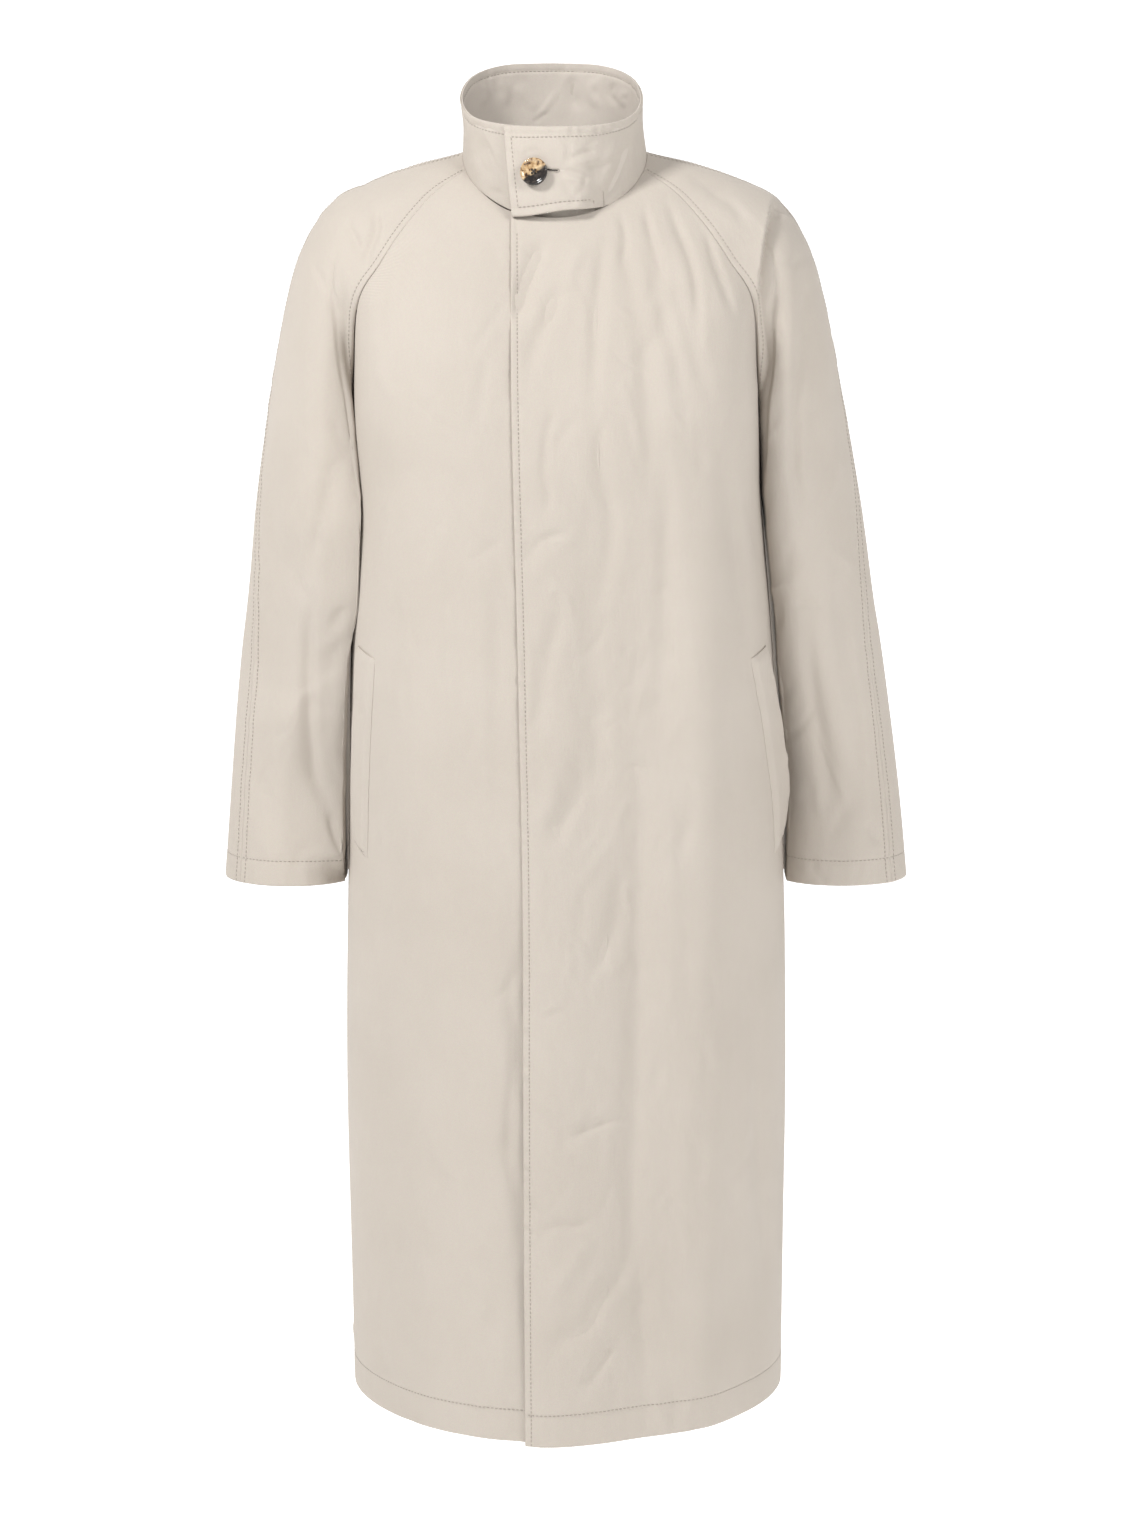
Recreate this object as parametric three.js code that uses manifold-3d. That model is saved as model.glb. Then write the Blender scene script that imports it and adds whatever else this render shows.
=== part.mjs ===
// A long raglan cotton coat with a buttoned stand collar, filled out as if it were worn, with nobody in it.
// Millimetres, +Z up. The coat faces -Y and its left side is +X. The origin is the middle of the neck at the
// height of the shoulder line, where a wearer's shoulders carry it.
import * as THREE from "three";
import Module from "manifold-3d";

const wasm = await Module();
wasm.setup();

// Driving dimensions
const WALL = 1.6; // cloth with its seam allowances
const HEM_WALL = 2.2; // cloth turned up at a hem
const COLLAR_PLY = 1.2; // each of the collar's two layers
const PLY_GAP = 0.3;
const SEAM_GAP = 0.4;
const FRONT_EDGE = 39; // from the centre line to a front edge
const OVERLAP_BLEND = 34; // how far past an edge the fronts take to lie level again
const OVER_LIFT = 1.5; // how far the left front stands off the body line where the fronts lap
const UNDER_SINK = 1.2; // how far the right front lies inside it there
const NECK_SINK = 2.8; // how far inside at the neck seam, where the left front lies on it
const LEAN_STEP = 100; // the coat leans to its left by one of these every 100 mm down from the shoulders
const LEANS = [0, 0, 0.3, 2.4, 5, 7.2, 9.5, 10.4, 10.4, 10.7, 11.1, 11.7, 12.2];
// The left shoulder is a little higher and further out, between two distances out and down to two heights
const SHOULDER_LIFT = { out: 0.5, up: 1.2, from: 60, to: 190, lowZ: -230, endZ: -420 };
const BODY_HEM_Z = -1155;
const FRONT_DIP = 10; // the hem's front under its sides
const CORNER_DIP = { drop: 3, fromLevel: 8, toLevel: 12, reach: 70 }; // the left front's corner hangs lower
const CUFF_Z = -672;
const BODY_HEM_DEPTH = 28;
const SLEEVE_HEM_DEPTH = 23;

// Neck seam, an ellipse seen from above that dips at the front. The angles run from the front, in degrees,
// to the raglan seams and the sleeves' crest and over lines.
const NECK = { halfWidth: 84, front: 88, back: 66, sideZ: -2, frontZ: -54, backZ: 8, dip: 1.1 };
const NECK_STOPS = [74, 83, 93, 116, 140];

// Collar
const COLLAR_TOP = { halfWidth: 83.5, front: 82, back: 72, shiftX: -3, square: 0.86 };
const COLLAR_BOW = { front: 1.5, side: -1.8 }; // outward at half height
const COLLAR_TOP_HEIGHTS = [27, 28, 34, 50, 67, 76.5, 78.5]; // every 30 degrees from the front to the back
const COLLAR_FROM = 27; // its under end, degrees from the front
const COLLAR_TO = { low: -385, high: -391 }; // its over end, the tab, once round
const TAB_FROM = -327; // where the neck seam stops and the tab's free edge starts
const TAB_DROP_FROM = -348; // where that edge starts to hang under the neck seam
const TAB_STAND_OFF = 7.6; // of the tab's free corner
const TAB_DROP = 5; // of the tab's free corner under the neck seam
const TAB_RISE = { up: 6.7, from: -328, to: -385 }; // how far the tab's lower edge is cut up between them
const UNDER_END_SINK = 3.6; // how far inside the tab the under end lies
const UNDER_END_FADE = [36, 62]; // degrees round over which it comes level again

// Button
const BUTTON = { radius: 12.5, thickness: 4.4, rim: 2.2, dish: 1.3, holeRadius: 1, holeReach: 2.1 };
const BUTTON_AT = { turn: -370.5, height: 0.482 };
const THREAD_RADIUS = 0.55;

// Pocket welts, whose free edge sits higher than their seam by the slants
const WELT = { width: 34, wall: 2.4, standOff: 0.9, topSlant: 8, lowSlant: 14 };

// The over seam's place round the arm: on the over line at the neck and further forward down the arm
const OVER_SEAM = { high: 0.5, low: 0.43, from: 4, to: 8 };

const table = (names, rows) =>
  rows.map((row) => Object.fromEntries(names.split(" ").map((name, i) => [name, row[i]])));

// Body levels from the neck seam to the hem, for the left side: the centre front, the front seam, the back
// seam and the centre back. The two seams are the raglan seams down to the underarm and the widest line of
// the side below it. A turn is the cloth's heading there seen from above, in degrees from +X, going round
// from the front to the back. The front is fuller than a round arc by the last number, so that the chest is a
// flat plane with a marked edge in front of each arm.
const bodyLevels = table("frontY frontZ x y z turn backX backY backZ backTurn midY midZ full", [
  [-88, -54, 84, -24, -14, 74, 56, 51, 3, 140, 66, 8, 1],
  [-103, -84, 111, -52, -35, 52, 84, 80, -20, 144, 88, -20, 1],
  [-118, -122, 136, -76, -63, 44, 114, 102, -56, 148, 106, -64, 1],
  [-132, -166, 157, -89, -94, 44, 144, 114, -102, 146, 119, -114, 1.04],
  [-143, -212, 177, -84, -129, 62, 168, 108, -160, 118, 127, -174, 1.16],
  [-150, -258, 182, -60, -192, 90, 180, 74, -228, 92, 130, -238, 1.28],
  [-154, -304, 185, -30, -304, 90, 185, -30, -304, 90, 131, -304, 1.36],
  [-158, -430, 193, -24, -430, 90, 193, -24, -430, 90, 131, -430, 1.32],
  [-163, -570, 199, -12, -570, 90, 199, -12, -570, 90, 133, -570, 1.22],
  [-168, -715, 204, -2, -715, 90, 204, -2, -715, 90, 136, -715, 1.1],
  [-173, -862, 206, 6, -862, 90, 206, 6, -862, 90, 140, -862, 1.05],
  [-178, -1010, 204, 4, -1010, 90, 204, 4, -1010, 90, 146, -1010, 1],
  [-182, BODY_HEM_Z - FRONT_DIP, 202, 2, BODY_HEM_Z, 90, 202, 2, BODY_HEM_Z, 90, 152, BODY_HEM_Z, 1],
]);
const UNDERARM = 6; // the level where the two raglan seams meet

// Sleeve levels from the neck seam to the cuff: the over line runs along the shoulder and down the outside of
// the arm. The crest and the rear are the front and back of the shoulder above and, under the arm, the two
// corners where the sleeve lies against the body.
const sleeveLevels = table("crestX crestY crestZ crestTurn overX overY overZ rearX rearY rearZ rearTurn", [
  [84, -11, -8, 83, 85, 3, -2, 76, 29, 0, 116],
  [121, -26, -20, 74, 127, 8, -11.5, 118, 46, -14, 122],
  [156, -44, -38, 66, 169, 12, -26, 158, 66, -38, 128],
  [186, -59, -63, 52, 206, 15, -46, 192, 82, -70, 138],
  [202, -73, -106, 28, 236, 17, -96, 216, 94, -118, 154],
  [198, -76, -182, -16, 256, 18, -180, 216, 101, -190, 176],
  [189, -68, -304, -54, 277, 18, -304, 192, 88, -304, 222],
  [194, -58, -396, -58, 289, 18, -396, 190, 72, -396, 238],
  [200, -44, -489, -58, 301, 19, -489, 195, 66, -489, 238],
  [208, -14, -582, -58, 311, 19, -582, 199, 58, -582, 236],
  [205, -20, CUFF_Z, -56, 319, 17, CUFF_Z, 199, 52, CUFF_Z, 234],
]);
// The right sleeve's crest lies further forward against the chest between some of these levels
const RIGHT_CREST = { x: -2, y: -18, turn: 18, from: 5.2, full: 6.4, last: 6.9, end: 7.8 };
// The sleeve's heading where it leaves the front seam and where it reaches the back seam
const sleeveTurns = table("turn backTurn", [
  [74, 140],
  [52, 144],
  [44, 148],
  [40, 152],
  [8, 178],
  [-66, 222],
  [-90, 270],
]);
// The under seam of the sleeve from the underarm down, and the cloth's heading on either side of it
const underSeam = table("x y turn backTurn", [
  [185 + SEAM_GAP, -30, -90, 270],
  [195, -6, -94, 270],
  [200, 8, -92, 268],
  [204.5, 18, -90, 266],
  [204.5, 22, -90, 264],
]);

// Folds, a row for each: soft troughs, or ridges where the depth is under 0, along a line on the cloth. On the
// body a place is x from the leaning centre line, on a sleeve it is the share of the way round the arm from
// the front seam, and a width is half a fold's width in the same measure.
const folds = table("on place topZ lowPlace lowZ width depth", [
  ["front", 58, -52, 92, -250, 9, 2.2],
  ["front", 80, -60, 118, -230, 8, 2.4],
  ["front", 98, -80, 138, -220, 8, 1.8],
  ["front", 8, -60, -34, -150, 12, 3],
  ["front", 34, -250, 22, -640, 16, 3],
  ["front", 128, -240, 126, -1280, 24, -6],
  ["front", 62, -240, 66, -1280, 46, 9],
  ["front", -30, -420, -30, -1280, 36, -4],
  ["front", -46, -560, -48, -1280, 18, 4],
  ["front", -126, -300, -124, -1250, 34, -4],
  ["back", 66, -150, 76, -1280, 26, 8],
  ["back", -60, -170, -82, -1280, 26, 8],
  ["back", 148, -330, 146, -1280, 24, 6],
  ["back", -150, -330, -150, -1280, 24, 6],
  ["left sleeve", 0.2, -60, 0.16, -300, 0.05, 2],
  ["left sleeve", 0.36, -120, 0.33, -470, 0.06, 3],
  ["left sleeve", 0.3, -430, 0.36, -720, 0.07, 5],
  ["left sleeve", 0.66, -200, 0.7, -720, 0.06, 5],
  ["right sleeve", 0.22, -60, 0.2, -300, 0.05, 2],
  ["right sleeve", 0.38, -330, 0.36, -520, 0.06, 5],
  ["right sleeve", 0.2, -440, 0.16, -700, 0.05, 3],
  ["right sleeve", 0.68, -180, 0.64, -720, 0.06, 5],
]);

const radians = THREE.MathUtils.degToRad;
const lerp = THREE.MathUtils.lerp;
const clamp = THREE.MathUtils.clamp;
const smooth = (low, high, x) => THREE.MathUtils.smoothstep(x, low, high);

// One column of a table at a fractional row, on a curve through the rows that is smooth but for a corner row
function column(rows, name, v, corner = -1) {
  const last = rows.length - 1;
  const i = clamp(Math.floor(v), 0, last - 1);
  const t = v - i;
  const at = (k) => rows[clamp(k, 0, last)][name];
  const [a, b, c, d] = [at(i - 1), at(i), at(i + 1), at(i + 2)];
  const startSlope = i === 0 || i === corner ? c - b : (c - a) / 2;
  const endSlope = i === last - 1 || i + 1 === corner ? c - b : (d - b) / 2;
  return (
    b * (1 + 2 * t) * (1 - t) ** 2 +
    startSlope * t * (1 - t) ** 2 +
    c * t * t * (3 - 2 * t) +
    endSlope * t * t * (t - 1)
  );
}

// How far the coat leans to its left at a height, more at the shoulders further out
function leanAt(x, z) {
  const rows = LEANS.map((lean) => ({ lean }));
  const whole = column(rows, "lean", clamp(-z / LEAN_STEP, 0, LEANS.length - 1));
  return whole + shoulderShare(x, z) * SHOULDER_LIFT.out;
}

function shoulderShare(x, z) {
  const { from, to, lowZ, endZ } = SHOULDER_LIFT;
  return smooth(from, to, Math.abs(x)) * (1 - smooth(-lowZ, -endZ, -z));
}

// A point of the neck seam at an angle from the front, in degrees
function neckPoint(angle) {
  const c = Math.cos(radians(angle));
  const endZ = c > 0 ? NECK.frontZ : NECK.backZ;
  return new THREE.Vector3(
    NECK.halfWidth * Math.sin(radians(angle)),
    -(c > 0 ? NECK.front : NECK.back) * c,
    NECK.sideZ + (endZ - NECK.sideZ) * Math.abs(c) ** NECK.dip,
  );
}

// A unit heading turned by an angle seen from above and climbing at a slope
function heading(turn, slope) {
  return new THREE.Vector3(Math.cos(radians(turn)), Math.sin(radians(turn)), slope).normalize();
}

// A point of the arc that leaves a with one heading and reaches b with another, round where its fullness is 1
function arcPoint(a, b, from, to, t, full = 1) {
  const chord = b.clone().sub(a);
  const cosine = clamp(from.dot(to), -0.99, 0.985);
  const angle = Math.acos(cosine);
  const [along, across] = [chord.dot(from), chord.dot(to)];
  const scale = ((4 / 3) * full * Math.tan(angle / 4)) / Math.tan(angle / 2) / (1 - cosine * cosine);
  const limit = chord.length() * 0.75;
  const startReach = clamp(scale * (along - across * cosine), 0, limit);
  const endReach = clamp(scale * (across - along * cosine), 0, limit);
  const s = 1 - t;
  return a
    .clone()
    .multiplyScalar(s * s * (s + 3 * t))
    .addScaledVector(from, 3 * s * s * t * startReach)
    .addScaledVector(b, t * t * (t + 3 * s))
    .addScaledVector(to, -3 * s * t * t * endReach);
}

const climb = (a, b) => (b.z - a.z) / Math.max(Math.hypot(b.x - a.x, b.y - a.y), 1);

// Above the first level below the neck, a point is moved so that the first level lies on the neck seam
function seated(point, first, angle, v) {
  return point.addScaledVector(neckPoint(angle).sub(first), (1 - v) ** 2);
}

// Away from the seams the cloth is eased over the levels round the underarm, so that no edge crosses the body
const EASE = { reach: 0.5, levels: 1, offSeam: 0.35, weights: [1, 2, 3, 2, 1] };

function eased(half, a, v, offSeam) {
  const away = smooth(0.02, EASE.offSeam, offSeam);
  const reach = EASE.reach * (1 - smooth(0, EASE.levels, Math.abs(v - UNDERARM))) * away;
  if (reach === 0) return half(a, v);
  const point = new THREE.Vector3();
  const whole = EASE.weights.reduce((sum, weight) => sum + weight);
  const middle = (EASE.weights.length - 1) / 2;
  EASE.weights.forEach((weight, k) => {
    point.addScaledVector(half(a, v + (reach * (k - middle)) / middle), weight / whole);
  });
  return point;
}

// The left front half: a runs from 0 at the centre front to 1 at the seam
function halfFront(a, v) {
  const get = (name) => column(bodyLevels, name, v, UNDERARM);
  const mid = new THREE.Vector3(0, get("frontY"), get("frontZ"));
  const seam = new THREE.Vector3(get("x"), get("y"), get("z"));
  const slope = v < UNDERARM ? climb(mid, seam) * 1.1 : 0;
  return arcPoint(mid, seam, heading(0, 0), heading(get("turn"), slope), a, get("full"));
}

// The left half of the back: a runs from 0 at the seam to 1 at the centre back
function halfBack(a, v) {
  const get = (name) => column(bodyLevels, name, v, UNDERARM);
  const seam = new THREE.Vector3(get("backX"), get("backY"), get("backZ"));
  const mid = new THREE.Vector3(0, get("midY"), get("midZ"));
  const slope = v < UNDERARM ? climb(seam, mid) * 1.1 : 0;
  return arcPoint(seam, mid, heading(get("backTurn"), slope), heading(180, 0), a);
}

// The front as one surface: a runs from -1 at the right seam over 0 at the centre to 1 at the left seam
function frontPoint(a, v) {
  const own = Math.abs(a);
  const point = eased(halfFront, own, v, 1 - own);
  if (v < 1) seated(point, halfFront(own, 0), own * NECK_STOPS[0], v);
  if (a < 0) point.x *= -1;
  return point;
}

// The back as one surface: a runs from 0 at the left seam over 1 at the centre to 2 at the right seam
function backPoint(a, v) {
  const own = a > 1 ? 2 - a : a;
  const point = eased(halfBack, own, v, own);
  if (v < 1) seated(point, halfBack(own, 0), lerp(NECK_STOPS[4], 180, own), v);
  if (a > 1) point.x *= -1;
  return point;
}

// A sleeve, drawn on the left: t runs from 0 at the front seam over the arm to 1 at the back seam
function sleeveArc(t, v, isRight) {
  const get = (name) => column(sleeveLevels, name, v);
  const { from, full, last, end } = RIGHT_CREST;
  const moved = isRight ? smooth(from, full, v) * (1 - smooth(last, end, v)) : 0;
  const own = (name) => column(bodyLevels, name, v, UNDERARM);
  const under = (name) => column(underSeam, name, v - UNDERARM);
  const shift = SEAM_GAP * smooth(1, 5, v);
  const above = v < UNDERARM;
  const low = above ? null : new THREE.Vector3(under("x"), under("y"), get("overZ"));
  const turnAt = (name) => (above ? column(sleeveTurns, name, v) : under(name));
  const crest = new THREE.Vector3(get("crestX"), get("crestY"), get("crestZ"));
  crest.x += RIGHT_CREST.x * moved;
  crest.y += RIGHT_CREST.y * moved;
  const stops = [
    [above ? new THREE.Vector3(own("x") + shift, own("y"), own("z")) : low, turnAt("turn")],
    [crest, get("crestTurn") + RIGHT_CREST.turn * moved],
    [new THREE.Vector3(get("overX"), get("overY"), get("overZ")), 90],
    [new THREE.Vector3(get("rearX"), get("rearY"), get("rearZ")), get("rearTurn")],
    [above ? new THREE.Vector3(own("backX") + shift, own("backY"), own("backZ")) : low, turnAt("backTurn")],
  ];
  const slopeAt = (k) => {
    const before = stops[Math.max(k - 1, 0)][0];
    const after = stops[Math.min(k + 1, 4)][0];
    return climb(before, after) * (1 - smooth(3, 5, v));
  };
  const i = clamp(Math.floor(t * 4), 0, 3);
  const [a, turnA] = stops[i];
  const [b, turnB] = stops[i + 1];
  return arcPoint(a, b, heading(turnA, slopeAt(i)), heading(turnB, slopeAt(i + 1)), t * 4 - i);
}

function sleevePoint(t, v, isRight) {
  const point = sleeveArc(t, v, isRight);
  if (v >= 1) return point;
  const i = clamp(Math.floor(t * 4), 0, 3);
  return seated(point, sleeveArc(t, 0, isRight), lerp(NECK_STOPS[i], NECK_STOPS[i + 1], t * 4 - i), v);
}

// How far the folds named for a piece of the coat raise its cloth at a place
function foldOffset(on, place, z) {
  let offset = 0;
  for (const fold of folds) {
    if (fold.on !== on) continue;
    const along = (fold.topZ - z) / (fold.topZ - fold.lowZ);
    const ends = smooth(0, 0.22, along) * (1 - smooth(0.8, 1, along));
    const across = (place - lerp(fold.place, fold.lowPlace, along)) / fold.width;
    offset -= fold.depth * ends * Math.exp(-across * across);
  }
  return offset;
}

// The outward normal of a surface given by its place round the coat and its level, each kept to its range
function normalOf(surface, a, v, places, levels) {
  const step = 0.01;
  const round = surface(Math.min(a + step, places[1]), v).sub(surface(Math.max(a - step, places[0]), v));
  const down = surface(a, Math.min(v + step, levels)).sub(surface(a, Math.max(v - step, 0)));
  return down.cross(round).normalize();
}

const BODY_END = bodyLevels.length - 1;
const SLEEVE_END = sleeveLevels.length - 1;
const PLACES = { front: [-1, 1], back: [0, 2], sleeve: [0, 1] };

// The front's cloth, folds and all, where layer is over for the left front and under for the right
function frontCloth(layer, a, v) {
  const point = frontPoint(a, v);
  const normal = normalOf(frontPoint, a, v, PLACES.front, BODY_END);
  const lap = 1 - smooth(FRONT_EDGE, FRONT_EDGE + OVERLAP_BLEND, Math.abs(point.x));
  const atNeck = 1 - smooth(0, 1, v);
  const lift = layer === "over" ? OVER_LIFT * lap * (1 - atNeck) : -lerp(UNDER_SINK, NECK_SINK, atNeck) * lap;
  const nearEdge = 1 - smooth(-FRONT_EDGE, CORNER_DIP.reach, point.x);
  const dip = layer === "over" ? smooth(CORNER_DIP.fromLevel, CORNER_DIP.toLevel, v) * nearEdge : 0;
  const offset = foldOffset("front", point.x, point.z) * smooth(0, 2, v) + lift;
  point.addScaledVector(normal, offset);
  point.z -= CORNER_DIP.drop * dip;
  return point;
}

function backCloth(a, v) {
  const point = backPoint(a, v);
  const normal = normalOf(backPoint, a, v, PLACES.back, BODY_END);
  return point.addScaledVector(normal, foldOffset("back", point.x, point.z) * smooth(0, 2, v));
}

function sleeveCloth(isRight, t, v) {
  const surface = (place, level) => sleevePoint(place, level, isRight);
  const point = surface(t, v);
  const normal = normalOf(surface, t, v, PLACES.sleeve, SLEEVE_END);
  const offSeam = smooth(0, 0.1, t) * (1 - smooth(0.9, 1, t));
  const offset = foldOffset(isRight ? "right sleeve" : "left sleeve", t, point.z);
  return point.addScaledVector(normal, offset * smooth(0, 2, v) * offSeam);
}

// A row of outer points and the inward wall at each, at the places of one level
function clothRow(cloth, places, v, range, end, wall) {
  return places.map((a) => {
    const normal = normalOf(cloth, a, v, range, end);
    const point = cloth(a, v);
    return { point, inner: point.clone().addScaledVector(normal, -wall) };
  });
}

// Draws a row's end points back from a seam, then mirrors it to the coat's right if asked and leans it over
function finishRow(row, side, trimStart, trimEnd) {
  const last = row.length - 1;
  const steps = [];
  if (trimStart) steps.push([row[0], row[1]]);
  if (trimEnd) steps.push([row[last], row[last - 1]]);
  for (const [end, next] of steps) {
    const step = next.point.clone().sub(end.point).normalize().multiplyScalar(SEAM_GAP / 2);
    end.point.add(step);
    end.inner.add(step);
  }
  for (const { point, inner } of row) {
    const lean = leanAt(point.x, point.z);
    const lift = Math.sign(point.x * side) * shoulderShare(point.x, point.z) * SHOULDER_LIFT.up;
    point.set(point.x * side + lean, point.y, point.z + lift);
    inner.set(inner.x * side + lean, inner.y, inner.z + lift);
  }
  return side < 0 ? row.reverse() : row;
}

// A closed mesh from rows of outer and inner points: rows down the cloth, columns round it from front to back
function clothMesh(name, rows, colour = colours.cloth) {
  const [m, n] = [rows.length, rows[0].length];
  const positions = [];
  for (const layer of ["point", "inner"]) {
    for (const row of rows) {
      for (const place of row) positions.push(...place[layer].toArray());
    }
  }
  const outer = (i, j) => i * n + j;
  const inner = (i, j) => (m + i) * n + j;
  const faces = [];
  const quad = (a, b, c, d) => faces.push(a, b, c, a, c, d);
  for (let i = 0; i < m - 1; i += 1) {
    for (let j = 0; j < n - 1; j += 1) {
      quad(outer(i, j), outer(i + 1, j), outer(i + 1, j + 1), outer(i, j + 1));
      quad(inner(i, j), inner(i, j + 1), inner(i + 1, j + 1), inner(i + 1, j));
    }
    quad(outer(i, 0), inner(i, 0), inner(i + 1, 0), outer(i + 1, 0));
    quad(outer(i, n - 1), outer(i + 1, n - 1), inner(i + 1, n - 1), inner(i, n - 1));
  }
  for (let j = 0; j < n - 1; j += 1) {
    quad(outer(0, j), outer(0, j + 1), inner(0, j + 1), inner(0, j));
    quad(outer(m - 1, j), inner(m - 1, j), inner(m - 1, j + 1), outer(m - 1, j + 1));
  }
  const geometry = new THREE.BufferGeometry();
  geometry.setAttribute("position", new THREE.Float32BufferAttribute(positions, 3));
  geometry.setIndex(faces);
  return named(name, geometry, colour);
}

const colours = {
  cloth: 0xcfc6ba,
  inside: 0xbdb5a8,
  button: 0x4a3320,
  thread: 0x3a3028,
};

function named(name, geometry, colour) {
  geometry.computeVertexNormals();
  const mesh = new THREE.Mesh(geometry, new THREE.MeshStandardMaterial({ color: colour, roughness: 0.85 }));
  mesh.name = name;
  return mesh;
}

const spread = (from, to, count) => Array.from({ length: count + 1 }, (_, i) => lerp(from, to, i / count));

// The levels of a piece's rows, each with its wall: thicker under the line where a hem's turning ends
function levelRows(rows, counts, hemDepth, zName) {
  const last = rows.length - 1;
  const hem = last - hemDepth / (rows[last - 1][zName] - rows[last][zName]);
  const plain = [
    ...spread(0, UNDERARM, counts.upper),
    ...spread(UNDERARM, hem - 0.02, counts.lower).slice(1),
  ].map((v) => [v, WALL]);
  return [...plain, [hem, HEM_WALL], [last, HEM_WALL]];
}

// The place on the left front where a level crosses a distance from the centre line
function placeAt(x, v) {
  let [low, high] = [0, 1];
  for (let i = 0; i < 30; i += 1) {
    const middle = (low + high) / 2;
    if (frontPoint(middle, v).x < x) low = middle;
    else high = middle;
  }
  return (low + high) / 2;
}

// Body panels
const BODY_ROWS = { upper: 15, lower: 13 };
const FRONT_COLUMNS = { lap: 6, rest: 11 };
const BACK_COLUMNS = 20;

function frontPanel(name, side, layer) {
  const cloth = (a, v) => frontCloth(layer, a, v);
  const rows = levelRows(bodyLevels, BODY_ROWS, BODY_HEM_DEPTH, "z").map(([v, wall]) => {
    const edge = placeAt(FRONT_EDGE, v);
    const lap = spread(-edge, edge, FRONT_COLUMNS.lap);
    const rest = spread(edge, 1, FRONT_COLUMNS.rest).slice(1);
    const places = side > 0 ? [...lap, ...rest] : [...rest.reverse().map((a) => -a), ...lap];
    const row = clothRow(cloth, places, v, PLACES.front, BODY_END, wall);
    return finishRow(row, 1, side < 0, side > 0);
  });
  return clothMesh(name, rows);
}

function backPanel() {
  const rows = levelRows(bodyLevels, BODY_ROWS, BODY_HEM_DEPTH, "z").map(([v, wall]) => {
    const row = clothRow(backCloth, spread(0, 2, BACK_COLUMNS), v, PLACES.back, BODY_END, wall);
    return finishRow(row, 1, true, true);
  });
  return clothMesh("back", rows);
}

// Sleeve halves
const SLEEVE_ROWS = { upper: 14, lower: 7 };
const SLEEVE_COLUMNS = { under: 3, outer: 7 };

function sleeveHalf(name, side, isFront) {
  const { under, outer } = SLEEVE_COLUMNS;
  const cloth = (t, v) => sleeveCloth(side < 0, t, v);
  const rows = levelRows(sleeveLevels, SLEEVE_ROWS, SLEEVE_HEM_DEPTH, "overZ").map(([v, wall]) => {
    const over = lerp(OVER_SEAM.high, OVER_SEAM.low, smooth(OVER_SEAM.from, OVER_SEAM.to, v));
    const places = isFront
      ? [...spread(0, 0.25, under), ...spread(0.25, over, outer).slice(1)]
      : [...spread(over, 0.75, outer), ...spread(0.75, 1, under).slice(1)];
    const row = clothRow(cloth, places, v, PLACES.sleeve, SLEEVE_END, wall);
    return finishRow(row, side, true, true);
  });
  return clothMesh(name, rows);
}

// The collar's outer face: turn in degrees from the front, height from 0 at its lower edge to 1 at its top
function collarPoint(turn, height) {
  const low = neckPoint(turn);
  const c = Math.cos(radians(turn));
  const sideways = Math.sin(radians(turn));
  const square = (value) => Math.sign(value) * Math.abs(value) ** (c > 0 ? 1 : COLLAR_TOP.square);
  const rows = COLLAR_TOP_HEIGHTS.map((z) => ({ z }));
  const high = new THREE.Vector3(
    COLLAR_TOP.halfWidth * square(sideways) + COLLAR_TOP.shiftX,
    -(c > 0 ? COLLAR_TOP.front : COLLAR_TOP.back) * square(c),
    column(rows, "z", Math.acos(clamp(c, -1, 1)) / radians(30)),
  );
  const free = smooth(-TAB_FROM, -TAB_DROP_FROM, -turn);
  const sunk = 1 - smooth(...UNDER_END_FADE, -turn);
  const cut = Math.sin(Math.PI * clamp((turn - TAB_RISE.from) / (TAB_RISE.to - TAB_RISE.from), 0, 1));
  low.z += SEAM_GAP + 0.1 + TAB_RISE.up * cut;
  low.z -= TAB_DROP * smooth(-TAB_DROP_FROM, -COLLAR_TO.low, -turn);
  const point = low.lerp(high, height);
  const outward = new THREE.Vector3(sideways, -c, 0);
  const bow = lerp(COLLAR_BOW.side, COLLAR_BOW.front, c * c) * Math.sin(Math.PI * height);
  return point.addScaledVector(outward, bow + TAB_STAND_OFF * free * (1 - height) - UNDER_END_SINK * sunk);
}

const COLLAR_COLUMNS = 44;
const COLLAR_LAYERS = 4;

function collarNormal(turn, height) {
  const round = collarPoint(turn + 1, height).sub(collarPoint(turn - 1, height));
  return collarPoint(turn, 0).sub(collarPoint(turn, 1)).cross(round).normalize();
}

// One of the collar's two plies, from its over end back to its under end, so that it runs the body's way round
function collarPly(name, depth, colour) {
  const rows = spread(1, 0, COLLAR_LAYERS).map((height) => {
    const end = lerp(COLLAR_TO.low, COLLAR_TO.high, height);
    return spread(end, COLLAR_FROM, COLLAR_COLUMNS).map((turn) => {
      const normal = collarNormal(turn, height);
      const point = collarPoint(turn, height).addScaledVector(normal, -depth);
      return { point, inner: point.clone().addScaledVector(normal, -COLLAR_PLY) };
    });
  });
  return clothMesh(name, rows, colour);
}

// Pocket welts lie on the fronts: rows from top to bottom of the pocket, columns from its seam to its free edge
const weltLevels = table("z leftX leftGape rightX rightGape", [
  [-450, 171, 0, 168, 0],
  [-497, 179, 3, 172, 1],
  [-544, 185, 6, 176, 1.5],
  [-591, 190, 7, 179, 1.5],
  [-638, 192, 0, 181, 0],
]);
const WELT_ROWS = 10;
const WELT_COLUMNS = 4;

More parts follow.
